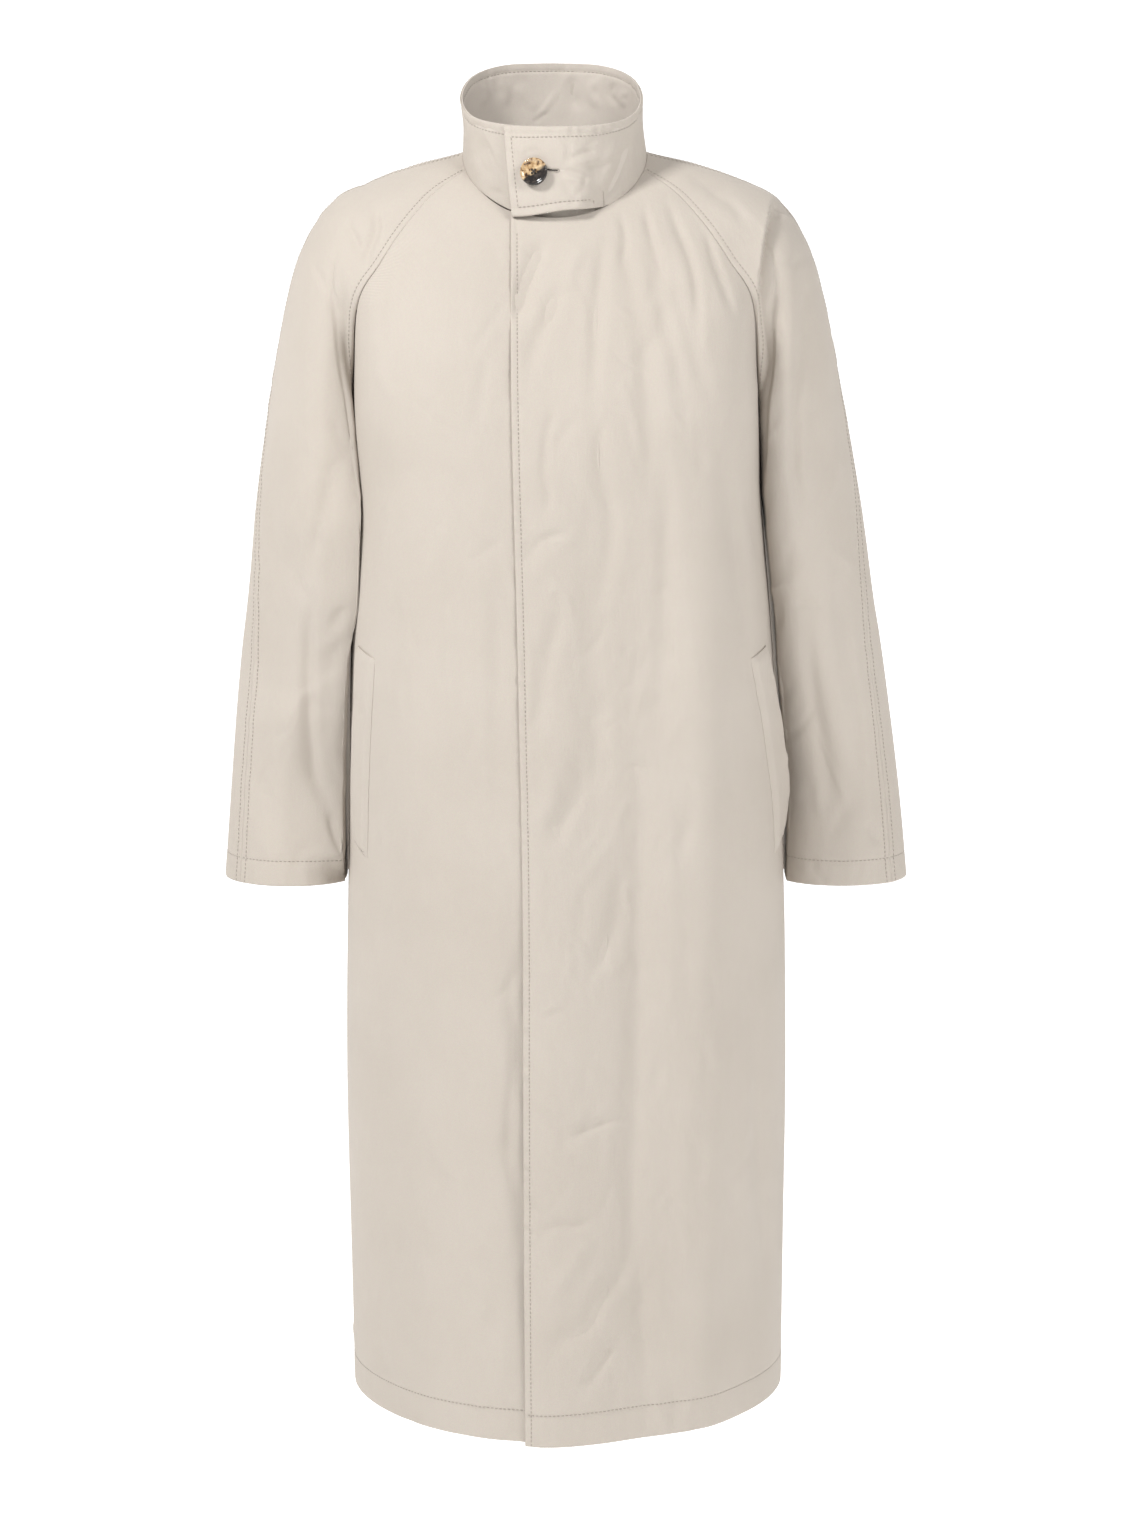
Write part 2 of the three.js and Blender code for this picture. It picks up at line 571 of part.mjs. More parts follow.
function welt(name, side) {
  const rows = spread(0, 1, WELT_ROWS).map((along) => {
    const get = (key) => column(weltLevels, key, along * (weltLevels.length - 1));
    const slant = lerp(WELT.topSlant, WELT.lowSlant, along);
    const row = spread(0, 1, WELT_COLUMNS).map((across) => {
      const v = levelOf(get("z") + slant * across);
      const start = placeAt(get(side > 0 ? "leftX" : "rightX"), v);
      const round = frontPoint(start, v).distanceTo(frontPoint(1, v));
      const a = lerp(start, 1, (across * WELT.width) / round);
      const gape = Math.max(get(side > 0 ? "leftGape" : "rightGape"), 0) * across ** 1.4;
      const normal = normalOf(frontPoint, side * a, v, PLACES.front, BODY_END);
      const point = frontCloth(side > 0 ? "over" : "under", side * a, v);
      point.addScaledVector(normal, WELT.standOff + gape);
      return { point: point.clone().addScaledVector(normal, WELT.wall), inner: point };
    });
    return finishRow(side > 0 ? row : row.reverse(), 1, false, false);
  });
  return clothMesh(name, rows);
}

// The level of the body's side at a height under the underarm
function levelOf(z) {
  let [low, high] = [UNDERARM, bodyLevels.length - 1];
  for (let i = 0; i < 30; i += 1) {
    const middle = (low + high) / 2;
    if (column(bodyLevels, "z", middle) > z) low = middle;
    else high = middle;
  }
  return low;
}

// Solids for the button and its thread are worked out along +Z and then turned to stand off the tab
const solid = (geometry) => {
  const positions = geometry.getAttribute("position");
  const index = geometry.getIndex();
  const mesh = new wasm.Mesh({
    numProp: 3,
    vertProperties: new Float32Array(positions.array),
    triVerts: new Uint32Array(index.array),
  });
  mesh.merge();
  return new wasm.Manifold(mesh);
};

function fromSolid(body) {
  const mesh = body.getMesh();
  const geometry = new THREE.BufferGeometry();
  geometry.setAttribute("position", new THREE.BufferAttribute(new Float32Array(mesh.vertProperties), 3));
  geometry.setIndex(new THREE.BufferAttribute(new Uint32Array(mesh.triVerts), 1));
  return geometry;
}

const holePlaces = [45, 135, 225, 315].map((turn) => [
  BUTTON.holeReach * Math.cos(radians(turn)),
  BUTTON.holeReach * Math.sin(radians(turn)),
]);

function buttonSolid() {
  const { radius, thickness, rim, dish } = BUTTON;
  const profile = [
    [0, 0],
    [radius - 3, 0],
    [radius - 0.8, 0.9],
    [radius, 2.2],
    [radius - 0.3, 3.6],
    [radius - rim / 2, thickness],
    [radius - rim, thickness - 0.3],
    [radius - rim - 2, thickness - dish],
    [0, thickness - dish - 0.3],
  ].map(([r, z]) => new THREE.Vector2(r, z));
  let body = solid(new THREE.LatheGeometry(profile, 32).rotateX(Math.PI / 2));
  for (const [x, y] of holePlaces) {
    const hole = wasm.Manifold.cylinder(BUTTON.thickness * 3, BUTTON.holeRadius, BUTTON.holeRadius, 12, true);
    body = body.subtract(hole.translate(x, y, 0));
  }
  return body;
}

const SHANK = 1.5; // thread between the tab and the button

function threadSolid() {
  const top = BUTTON.thickness - BUTTON.dish + 0.5;
  const legs = holePlaces.map(([x, y]) =>
    wasm.Manifold.cylinder(top + SHANK, THREAD_RADIUS, THREAD_RADIUS, 10).translate(x, y, -SHANK),
  );
  const bar = wasm.Manifold.cube([BUTTON.holeReach * 2, THREAD_RADIUS * 2, THREAD_RADIUS * 2], true);
  const bars = [45, 135].map((turn) => bar.rotate(0, 0, turn).translate(0, 0, top));
  const base = wasm.Manifold.cylinder(SHANK - 0.4, 3.2, 3.2, 20).translate(0, 0, -SHANK);
  return wasm.Manifold.union([...legs, ...bars, base]);
}

function onTab(name, body, stand, colour) {
  const { turn, height } = BUTTON_AT;
  const place = collarPoint(turn, height);
  const round = collarPoint(turn + 2, height).sub(collarPoint(turn - 2, height));
  const down = collarPoint(turn, height - 0.05).sub(collarPoint(turn, height + 0.05));
  const normal = down.cross(round).normalize();
  const up = new THREE.Vector3(0, 0, 1).addScaledVector(normal, -normal.z).normalize();
  const across = up.clone().cross(normal);
  const matrix = new THREE.Matrix4().makeBasis(across, up, normal);
  matrix.setPosition(place.addScaledVector(normal, stand));
  return named(name, fromSolid(body).applyMatrix4(matrix), colour);
}

const coat = new THREE.Group();
coat.name = "cotton_coat";
coat.add(
  frontPanel("front_left", 1, "over"),
  frontPanel("front_right", -1, "under"),
  backPanel(),
  sleeveHalf("sleeve_left_front", 1, true),
  sleeveHalf("sleeve_left_back", 1, false),
  sleeveHalf("sleeve_right_front", -1, true),
  sleeveHalf("sleeve_right_back", -1, false),
  collarPly("collar_outer", 0, colours.cloth),
  collarPly("collar_inner", COLLAR_PLY + PLY_GAP, colours.inside),
  welt("welt_left", 1),
  welt("welt_right", -1),
  onTab("collar_button", buttonSolid(), SHANK + 0.4, colours.button),
  onTab("button_thread", threadSolid(), SHANK + 0.4, colours.thread),
);

export default coat;
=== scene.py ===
import math
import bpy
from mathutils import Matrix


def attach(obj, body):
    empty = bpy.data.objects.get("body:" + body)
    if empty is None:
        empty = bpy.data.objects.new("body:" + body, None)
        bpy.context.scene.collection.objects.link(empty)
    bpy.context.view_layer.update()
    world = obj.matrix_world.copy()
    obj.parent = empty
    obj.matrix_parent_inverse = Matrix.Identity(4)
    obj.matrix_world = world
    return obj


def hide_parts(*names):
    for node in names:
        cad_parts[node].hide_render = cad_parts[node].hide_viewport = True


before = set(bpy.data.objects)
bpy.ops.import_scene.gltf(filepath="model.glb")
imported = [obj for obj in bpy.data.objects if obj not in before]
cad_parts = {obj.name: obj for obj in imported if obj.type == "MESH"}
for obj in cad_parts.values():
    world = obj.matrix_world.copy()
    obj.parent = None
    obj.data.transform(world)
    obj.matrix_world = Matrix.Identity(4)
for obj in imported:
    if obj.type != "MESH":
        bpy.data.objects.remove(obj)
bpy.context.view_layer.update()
from types import SimpleNamespace

import bpy
import numpy as np
from mathutils import Vector

# Everything is worked out in millimetres in the coat's own frame and handed to Blender in metres.
MM = 0.001

# Walls, gaps and edges of the cloth
WALL = 1.5
HEM_WALL = 2.1
COLLAR_PLY = 1.2
PLY_GAP = 0.3
FRONT_EDGE = 39
OVERLAP_BLEND = 34
OVER_LIFT = 1.5
UNDER_SINK = 1.2
NECK_SINK = 2.8
LEAN_STEP = 100
LEANS = [0, 0, 0.3, 2.4, 5, 7.2, 9.5, 10.4, 10.4, 10.7, 11.1, 11.7, 12.2]
SHOULDER_LIFT = dict(out=0.5, up=1.2, start=60, to=190, lowZ=-230, endZ=-420)
BODY_HEM_Z = -1155
FRONT_DIP = 10
CORNER_DIP = dict(drop=3, fromLevel=8, toLevel=12, reach=70)
CUFF_Z = -672
BODY_HEM_DEPTH = 28
SLEEVE_HEM_DEPTH = 23
NECK = dict(halfWidth=84, front=88, back=66, sideZ=-2, frontZ=-54, backZ=8, dip=1.1)
NECK_STOPS = [74, 83, 93, 116, 140]
COLLAR_TOP = dict(halfWidth=83.5, front=82, back=72, shiftX=-3, square=0.86)
COLLAR_BOW = dict(front=1.5, side=-1.8)
COLLAR_TOP_HEIGHTS = [27, 28, 34, 50, 67, 76.5, 78.5]
COLLAR_FROM = 27
COLLAR_TO = dict(low=-385, high=-391)
TAB_FROM = -327
TAB_DROP_FROM = -348
TAB_STAND_OFF = 7.6
TAB_DROP = 5
TAB_RISE = dict(up=6.7, start=-328, to=-385)
UNDER_END_SINK = 3.6
UNDER_END_FADE = [36, 62]
BUTTON = dict(radius=12.5, thickness=4.4, rim=2.2, dish=1.3, holeReach=2.1)
BUTTON_AT = dict(turn=-370.5, height=0.482)
SHANK = 1.5
WELT = dict(width=34, wall=2.4, standOff=0.9, topSlant=8, lowSlant=14)
OVER_SEAM = dict(high=0.5, low=0.43, start=4, to=8)
SEAM_GAP = 0.4
EASE = dict(reach=0.5, levels=1, offSeam=0.35, weights=[1, 2, 3, 2, 1])
PRESSED = dict(
    top=-160, full=-225, low=-640, end=-668, power=5, over=-8, beside=1.4, overTo=-400, besideFrom=-470, reach=30,
)

# How close the grid's rows and columns lie, in millimetres, and how many columns lie between the close ones
ROW_STEP = {"front": 2.3, "back": 2.9, "sleeve": 2.5}
COLUMNS = {"front": 93, "back": 143, "sleeve front": 83, "sleeve back": 53}
EDGE_STEPS = np.array([0, 0.6, 1.3, 2.2, 3.3, 4.6, 6, 7.6, 9.6, 12, 15, 18.6])
EDGE_FULL_WIDTH = 70
TOP_ROWS = [0, 0.7, 1.5, 2.6, 4.0]
LAST_ROWS = [1.6, 0.7, 0.0]
ROW_PROBES = 121

# Edges, seams and what is sewn on them
EDGE_ROUND = dict(outside=0.55, wall=0.5, reach=1.1)
SEAM_GROOVE = 0.35
SEAM_FADE = dict(side=11, neck=9)
STITCH_GROOVE_WIDTH = 1.3
HEM_GROOVE = 0.45
STITCH_IN = 6
COLLAR_STITCH_IN = 7
STITCH_COLUMN = 6
RAGLAN_SEWN_TO = 5.6
TAB_SEWN_TO = -336
STITCH = dict(pitch=3.9, length=2.7, radius=0.42, sides=5)
STITCH_RINGS = [(-0.5, -0.16, 0.5), (-0.34, 0.1, 0.9), (0, 0.2, 1.0), (0.34, 0.1, 0.9), (0.5, -0.16, 0.5)]
TACK = dict(turns=7, spread=0.8)
BUTTONHOLE_PULL = dict(x=560, y=170, depth=1.3, reach=6)
RIPPLES_TO = 1400
COLLAR_MM_PER_DEGREE = 1.4
CREASE_GAIN = 1.45  # brings the depths listed out as strongly as the photograph shows them

# The room, in metres: each light has its place, its size and its energy
FLOOR_Z = -1.45
SKY_STRENGTH = 0.38
LIT_POINT = (0, 0, -0.3)
LIGHTS = [("key", (-1.9, -1.4, 1.95), 0.6, 92), ("fill", (2.2, -2.6, 1.6), 1.4, 75)]

# The photograph's camera, in the same millimetres, and its frame in pixels
CAMERA = dict(x=11.6, back=4500.0, z=203.0, pitch=math.radians(9.6), focal=4908.0)
FRAME_PX = (1135, 1513)
SENSOR = 36

body_levels = np.array([
    [-88, -54, 84, -24, -14, 74, 56, 51, 3, 140, 66, 8, 1],
    [-103, -84, 111, -52, -35, 52, 84, 80, -20, 144, 88, -20, 1],
    [-118, -122, 136, -76, -63, 44, 114, 102, -56, 148, 106, -64, 1],
    [-132, -166, 157, -89, -94, 44, 144, 114, -102, 146, 119, -114, 1.04],
    [-143, -212, 177, -84, -129, 62, 168, 108, -160, 118, 127, -174, 1.16],
    [-150, -258, 182, -60, -192, 90, 180, 74, -228, 92, 130, -238, 1.28],
    [-154, -304, 185, -30, -304, 90, 185, -30, -304, 90, 131, -304, 1.36],
    [-158, -430, 193, -24, -430, 90, 193, -24, -430, 90, 131, -430, 1.32],
    [-163, -570, 199, -12, -570, 90, 199, -12, -570, 90, 133, -570, 1.22],
    [-168, -715, 204, -2, -715, 90, 204, -2, -715, 90, 136, -715, 1.1],
    [-173, -862, 206, 6, -862, 90, 206, 6, -862, 90, 140, -862, 1.05],
    [-178, -1010, 204, 4, -1010, 90, 204, 4, -1010, 90, 146, -1010, 1],
    [-182, BODY_HEM_Z - FRONT_DIP, 202, 2, BODY_HEM_Z, 90, 202, 2, BODY_HEM_Z, 90, 152, BODY_HEM_Z, 1],
], float)
FRONT_Y, FRONT_Z, SX, SY, SZ, TURN, BX, BY, BZ, BACK_TURN, MID_Y, MID_Z, FULL = range(13)
UNDERARM = 6

sleeve_levels = np.array([
    [84, -11, -8, 83, 85, 3, -2, 76, 29, 0, 116],
    [121, -26, -20, 74, 127, 8, -11.5, 118, 46, -14, 122],
    [156, -44, -38, 66, 169, 12, -26, 158, 66, -38, 128],
    [186, -59, -63, 52, 206, 15, -46, 192, 82, -70, 138],
    [202, -73, -106, 28, 236, 17, -96, 216, 94, -118, 154],
    [198, -76, -182, -16, 256, 18, -180, 216, 101, -190, 176],
    [189, -68, -304, -54, 277, 18, -304, 192, 88, -304, 222],
    [194, -58, -396, -58, 289, 18, -396, 190, 72, -396, 238],
    [200, -44, -489, -58, 301, 19, -489, 195, 66, -489, 238],
    [208, -14, -582, -58, 311, 19, -582, 199, 58, -582, 236],
    [205, -20, CUFF_Z, -56, 319, 17, CUFF_Z, 199, 52, CUFF_Z, 234],
], float)
OVER_Z = 6
RIGHT_CREST = dict(x=-2, y=-18, turn=18, start=5.2, full=6.4, last=6.9, end=7.8)
sleeve_turns = np.array([[74, 140], [52, 144], [44, 148], [40, 152], [8, 178], [-66, 222], [-90, 270]], float)
under_seam = np.array([
    [185 + SEAM_GAP, -30, -90, 270],
    [195, -6, -94, 270],
    [200, 8, -92, 268],
    [204.5, 18, -90, 266],
    [204.5, 22, -90, 264],
], float)

# Broad folds: on, place, topZ, lowPlace, lowZ, width, depth. Troughs, or ridges where the depth is under 0.
folds = [
    ("front", 58, -52, 92, -250, 9, 2.2),
    ("front", 80, -60, 118, -230, 8, 2.4),
    ("front", 98, -80, 138, -220, 8, 1.8),
    ("front", 8, -60, -34, -150, 12, 3),
    ("front", 34, -250, 22, -640, 16, 3),
    ("front", 128, -240, 126, -1280, 24, -6),
    ("front", 62, -240, 66, -1280, 46, 9),
    ("front", -30, -420, -30, -1280, 36, -4),
    ("front", -46, -560, -48, -1280, 18, 4),
    ("front", -126, -300, -124, -1250, 34, -4),
    ("back", 66, -150, 76, -1280, 26, 8),
    ("back", -60, -170, -82, -1280, 26, 8),
    ("back", 148, -330, 146, -1280, 24, 6),
    ("back", -150, -330, -150, -1280, 24, 6),
    ("left sleeve", 0.2, -60, 0.16, -300, 0.05, 2),
    ("left sleeve", 0.36, -120, 0.33, -470, 0.06, 3),
    ("left sleeve", 0.3, -430, 0.36, -720, 0.07, 5),
    ("left sleeve", 0.66, -200, 0.7, -720, 0.06, 5),
    ("right sleeve", 0.22, -60, 0.2, -300, 0.05, 2),
    ("right sleeve", 0.38, -330, 0.36, -520, 0.06, 5),
    ("right sleeve", 0.2, -440, 0.16, -700, 0.05, 3),
    ("right sleeve", 0.68, -180, 0.64, -720, 0.06, 5),
]

welt_levels = np.array([
    [-450, 171, 0, 168, 0],
    [-497, 179, 3, 172, 1],
    [-544, 185, 6, 176, 1.5],
    [-591, 190, 7, 179, 1.5],
    [-638, 192, 0, 181, 0],
], float)


# Curves and surfaces

def smooth(low, high, x):
    t = np.clip((np.asarray(x, float) - low) / (high - low), 0, 1)
    return t * t * (3 - 2 * t)


def lerp(a, b, t):
    return a + (b - a) * t


def unit(v):
    return v / np.maximum(np.linalg.norm(v, axis=-1, keepdims=True), 1e-9)


def column(rows, v, corner=-1):
    """Rows of a table at fractional rows v, smooth but for a corner row."""
    last = len(rows) - 1
    i = np.clip(np.floor(v).astype(int), 0, last - 1)
    t = (v - i)[..., None]
    a, b, c, d = (rows[np.clip(i + k, 0, last)] for k in (-1, 0, 1, 2))
    one_sided = ((i == 0) | (i == corner))[..., None]
    start = np.where(one_sided, c - b, (c - a) / 2)
    end_sided = ((i == last - 1) | (i + 1 == corner))[..., None]
    end = np.where(end_sided, c - b, (d - b) / 2)
    return (
        b * (1 + 2 * t) * (1 - t) ** 2
        + start * t * (1 - t) ** 2
        + c * t * t * (3 - 2 * t)
        + end * t * t * (t - 1)
    )


lean_rows = np.array(LEANS, float)[:, None]


def shoulder_share(x, z):
    s = SHOULDER_LIFT
    return smooth(s["start"], s["to"], np.abs(x)) * (1 - smooth(-s["lowZ"], -s["endZ"], -z))


def lean_at(x, z):
    whole = column(lean_rows, np.clip(-z / LEAN_STEP, 0, len(LEANS)))[..., 0]
    return whole + shoulder_share(x, z) * SHOULDER_LIFT["out"]


def neck_point(angle):
    angle = np.radians(angle)
    c = np.cos(angle)
    end_z = np.where(c > 0, NECK["frontZ"], NECK["backZ"])
    return np.stack([
        NECK["halfWidth"] * np.sin(angle),
        -np.where(c > 0, NECK["front"], NECK["back"]) * c,
        NECK["sideZ"] + (end_z - NECK["sideZ"]) * np.abs(c) ** NECK["dip"],
    ], -1)


def heading(turn, slope):
    turn = np.radians(turn)
    slope = np.broadcast_to(slope, np.shape(turn))
    return unit(np.stack([np.cos(turn), np.sin(turn), slope], -1))


def arc_point(a, b, start, end, t, full=1.0):
    chord = b - a
    cosine = np.clip((start * end).sum(-1), -0.99, 0.985)
    angle = np.arccos(cosine)
    along = (chord * start).sum(-1)
    across = (chord * end).sum(-1)
    scale = (4 / 3) * full * np.tan(angle / 4) / np.tan(angle / 2) / (1 - cosine * cosine)
    limit = np.linalg.norm(chord, axis=-1) * 0.75
    reach_a = np.clip(scale * (along - across * cosine), 0, limit)
    reach_b = np.clip(scale * (across - along * cosine), 0, limit)
    s = 1 - t
    return (
        a * (s * s * (s + 3 * t))[..., None]
        + start * (3 * s * s * t * reach_a)[..., None]
        + b * (t * t * (t + 3 * s))[..., None]
        - end * (3 * s * t * t * reach_b)[..., None]
    )


def climb(a, b):
    return (b[..., 2] - a[..., 2]) / np.maximum(np.hypot(b[..., 0] - a[..., 0], b[..., 1] - a[..., 1]), 1)


def half_front(a, v):
    r = column(body_levels, v, UNDERARM)
    mid = np.stack([np.zeros_like(v), r[..., FRONT_Y], r[..., FRONT_Z]], -1)
    seam = r[..., [SX, SY, SZ]]
    slope = np.where(v < UNDERARM, climb(mid, seam) * 1.1, 0)
    return arc_point(mid, seam, heading(np.zeros_like(v), 0.0), heading(r[..., TURN], slope), a, r[..., FULL])


def half_back(a, v):
    r = column(body_levels, v, UNDERARM)
    seam = r[..., [BX, BY, BZ]]
    mid = np.stack([np.zeros_like(v), r[..., MID_Y], r[..., MID_Z]], -1)
    slope = np.where(v < UNDERARM, climb(seam, mid) * 1.1, 0)
    return arc_point(seam, mid, heading(r[..., BACK_TURN], slope), heading(np.full_like(v, 180.0), 0.0), a)


def eased(half, a, v, off_seam):
    """Eases the cloth over the levels round the underarm, away from the seams."""
    away = smooth(0.02, EASE["offSeam"], off_seam)
    reach = EASE["reach"] * (1 - smooth(0, EASE["levels"], np.abs(v - UNDERARM))) * away
    weights = EASE["weights"]
    middle = (len(weights) - 1) / 2
    return sum(w / sum(weights) * half(a, v + reach * (k - middle) / middle) for k, w in enumerate(weights))


def seated(point, first, angle, v):
    share = np.where(v < 1, (1 - np.minimum(v, 1)) ** 2, 0)
    return point + (neck_point(angle) - first) * share[..., None]


def front_point(a, v):
    own = np.abs(a)
    point = seated(eased(half_front, own, v, 1 - own), half_front(own, np.zeros_like(v)), own * NECK_STOPS[0], v)
    point[..., 0] *= np.where(a < 0, -1, 1)
    return point


def back_point(a, v):
    own = np.where(a > 1, 2 - a, a)
    angle = lerp(NECK_STOPS[4], 180, own)
    point = seated(eased(half_back, own, v, own), half_back(own, np.zeros_like(v)), angle, v)
    point[..., 0] *= np.where(a > 1, -1, 1)
    return point


def sleeve_arc(t, v, is_right=False):
    r = column(sleeve_levels, v)
    c = RIGHT_CREST
    forward = smooth(c["start"], c["full"], v) * (1 - smooth(c["last"], c["end"], v)) if is_right else 0 * v
    r[..., 0] += c["x"] * forward
    r[..., 1] += c["y"] * forward
    r[..., 3] += c["turn"] * forward
    own = column(body_levels, v, UNDERARM)
    under = column(under_seam, v - UNDERARM)
    turns = column(sleeve_turns, v)
    shift = SEAM_GAP * smooth(1, 5, v)
    above = v < UNDERARM
    low = np.stack([under[..., 0], under[..., 1], r[..., 6]], -1)
    moved = np.stack([shift, 0 * shift, 0 * shift], -1)
    stops = np.stack([
        np.where(above[..., None], own[..., [SX, SY, SZ]] + moved, low),
        r[..., 0:3],
        r[..., 4:7],
        r[..., 7:10],
        np.where(above[..., None], own[..., [BX, BY, BZ]] + moved, low),
    ])
    turn = np.stack([
        np.where(above, turns[..., 0], under[..., 2]),
        r[..., 3],
        np.full_like(v, 90.0),
        r[..., 10],
        np.where(above, turns[..., 1], under[..., 3]),
    ])
    fade = 1 - smooth(3, 5, v)
    slopes = np.stack([climb(stops[max(k - 1, 0)], stops[min(k + 1, 4)]) * fade for k in range(5)])
    i = np.clip(np.floor(t * 4).astype(int), 0, 3)

    def pick(stack, k):
        index = k[None, ..., None] if stack.ndim > k.ndim + 1 else k[None, ...]
        return np.take_along_axis(stack, np.broadcast_to(index, (1,) + stack.shape[1:]), 0)[0]

    return arc_point(
        pick(stops, i), pick(stops, i + 1),
        heading(pick(turn, i), pick(slopes, i)), heading(pick(turn, i + 1), pick(slopes, i + 1)), t * 4 - i,
    )


def sleeve_point(t, v, is_right=False):
    i = np.clip(np.floor(t * 4).astype(int), 0, 3)
    stops = np.array(NECK_STOPS, float)
    angle = lerp(stops[i], stops[i + 1], t * 4 - i)
    return seated(sleeve_arc(t, v, is_right), sleeve_arc(t, np.zeros_like(v), is_right), angle, v)


def normal_of(surface, a, v, places, levels):
    step = 0.01
    across = surface(np.minimum(a + step, places[1]), v) - surface(np.maximum(a - step, places[0]), v)
    down = surface(a, np.minimum(v + step, levels)) - surface(a, np.maximum(v - step, 0))
    return unit(np.cross(down, across))


BODY_END = len(body_levels) - 1
SLEEVE_END = len(sleeve_levels) - 1


def fold_offset(on, place, z):
    total = np.zeros_like(z)
    for name, top, top_z, low, low_z, width, depth in folds:
        if name != on:
            continue
        along = (top_z - z) / (top_z - low_z)
        ends = smooth(0, 0.22, along) * (1 - smooth(0.8, 1, along))
        across = (place - lerp(top, low, along)) / width
        total -= depth * ends * np.exp(-across * across)
    return total


def to_photo(points):
    """Pixels of the photograph at which points are seen."""
    c = CAMERA
    x, y, z = points[..., 0] - c["x"], points[..., 1] + c["back"], points[..., 2] - c["z"]
    cos, sin = math.cos(c["pitch"]), math.sin(c["pitch"])
    deep = y * cos - z * sin
    px = FRAME_PX[0] / 2 + c["focal"] * x / deep
    py = FRAME_PX[1] / 2 - c["focal"] * (y * sin + z * cos) / deep
    return px, py


# Creases. Each is (points, half width, depth, lean): a soft trough along a smooth line through the points, or a
# ridge where the depth is under 0. Lean makes the side to the line's left steeper, or its right if it is under 0.
# On what the photograph shows, points and width are in its pixels. Elsewhere they are millimetres.

def smooth_line(points, count=8):
    points = np.array(points, float)
    v = np.linspace(0, len(points) - 1, (len(points) - 1) * count + 1)
    return column(points, v)


def nearest_on(line, x, y):
    """For each place the nearest step of a line, the share of it passed, the gap, the side and all steps' lengths."""
    a, step = line[:-1], np.diff(line, axis=0)
    size = np.maximum((step ** 2).sum(1), 1e-9)
    t = ((x[:, None] - a[:, 0]) * step[:, 0] + (y[:, None] - a[:, 1]) * step[:, 1]) / size
    t = np.clip(t, 0, 1)
    dx = x[:, None] - (a[:, 0] + t * step[:, 0])
    dy = y[:, None] - (a[:, 1] + t * step[:, 1])
    gap = np.hypot(dx, dy)
    k = gap.argmin(1)
    n = np.arange(len(k))
    side = np.sign(step[k, 0] * dy[n, k] - step[k, 1] * dx[n, k])
    return k, t[n, k], gap[n, k], side, np.sqrt(size)


def close_to(line, x, y, wide, high):
    """Places no further from the box round a line than this."""
    return (
        (x > line[:, 0].min() - wide) & (x < line[:, 0].max() + wide)
        & (y > line[:, 1].min() - high) & (y < line[:, 1].max() + high)
    )


def crease_offset(x, y, creases):
    total = np.zeros_like(x)
    for points, width, depth, lean in creases:
        line = smooth_line(points)
        near = close_to(line, x, y, 4 * width, 4 * width)
        if not near.any():
            continue
        k, t, gap, side, lengths = nearest_on(line, x[near], y[near])
        done = np.concatenate([[0], np.cumsum(lengths)])
        along = (done[k] + t * lengths[k]) / done[-1]
        u = gap / (width * (1 + lean * side * 0.6))
        taper = smooth(0, 0.3, along) * (1 - smooth(0.7, 1, along))
        taper = 0.12 + 0.88 * taper
        ends = np.minimum(along, 1 - along)
        taper = taper * smooth(-0.001, 0.06, ends + 0.02)
        total[near] -= depth * taper * (1 - 0.35 * u * u) * np.exp(-u * u / 1.3)
    return total


def fold_edge_offset(x, y, edges):
    """Cloth that turns in sharply on one side of a line and comes level again gently beyond it. An edge is
    (points, depth, drop width, reach), and the cloth turns in on the side to the left of the line's run."""
    total = np.zeros_like(x)
    for points, depth, drop, reach in edges:
        line = smooth_line(points)
        near = close_to(line, x, y, 5 * reach, reach)
        if not near.any():
            continue
        k, t, gap, side, lengths = nearest_on(line, x[near], y[near])
        along = (k + t) / len(lengths)
        u = -gap * side
        inside = smooth(0, drop, u) * np.exp(-np.maximum(u - drop, 0) / reach)
        outside = 0.3 * np.exp(np.minimum(u, 0) / (0.7 * reach)) * (1 - smooth(0, drop, u))
        taper = smooth(0, 0.3, along) * (1 - smooth(0.9, 1, along))
        total[near] -= depth * taper * (inside - outside)
    return total


def small_creases(seed, count, box, depth=0.7, size=1.0):
    """Short uneven creases strewn over an area, most of them running down the cloth."""
    rng = np.random.default_rng(seed)
    found = []
    for _ in range(count):
        x, y = rng.uniform(box[0], box[1]), rng.uniform(box[2], box[3])
        angle = rng.normal(0, 26)
        bend = rng.normal(0, 14)
        length = rng.uniform(24, 95) * size
        line = [(x, y)]
        for k in range(3):
            turn = math.radians(angle + bend * (k - 1))
            x, y = x + math.sin(turn) * length / 3, y + math.cos(turn) * length / 3
            line.append((x, y))
        deep = rng.uniform(0.3, 1.0) * depth * rng.choice([1, 1, -1])
        found.append((line, rng.uniform(3.5, 8.0) * size, deep, rng.uniform(-0.4, 0.4)))
    return found


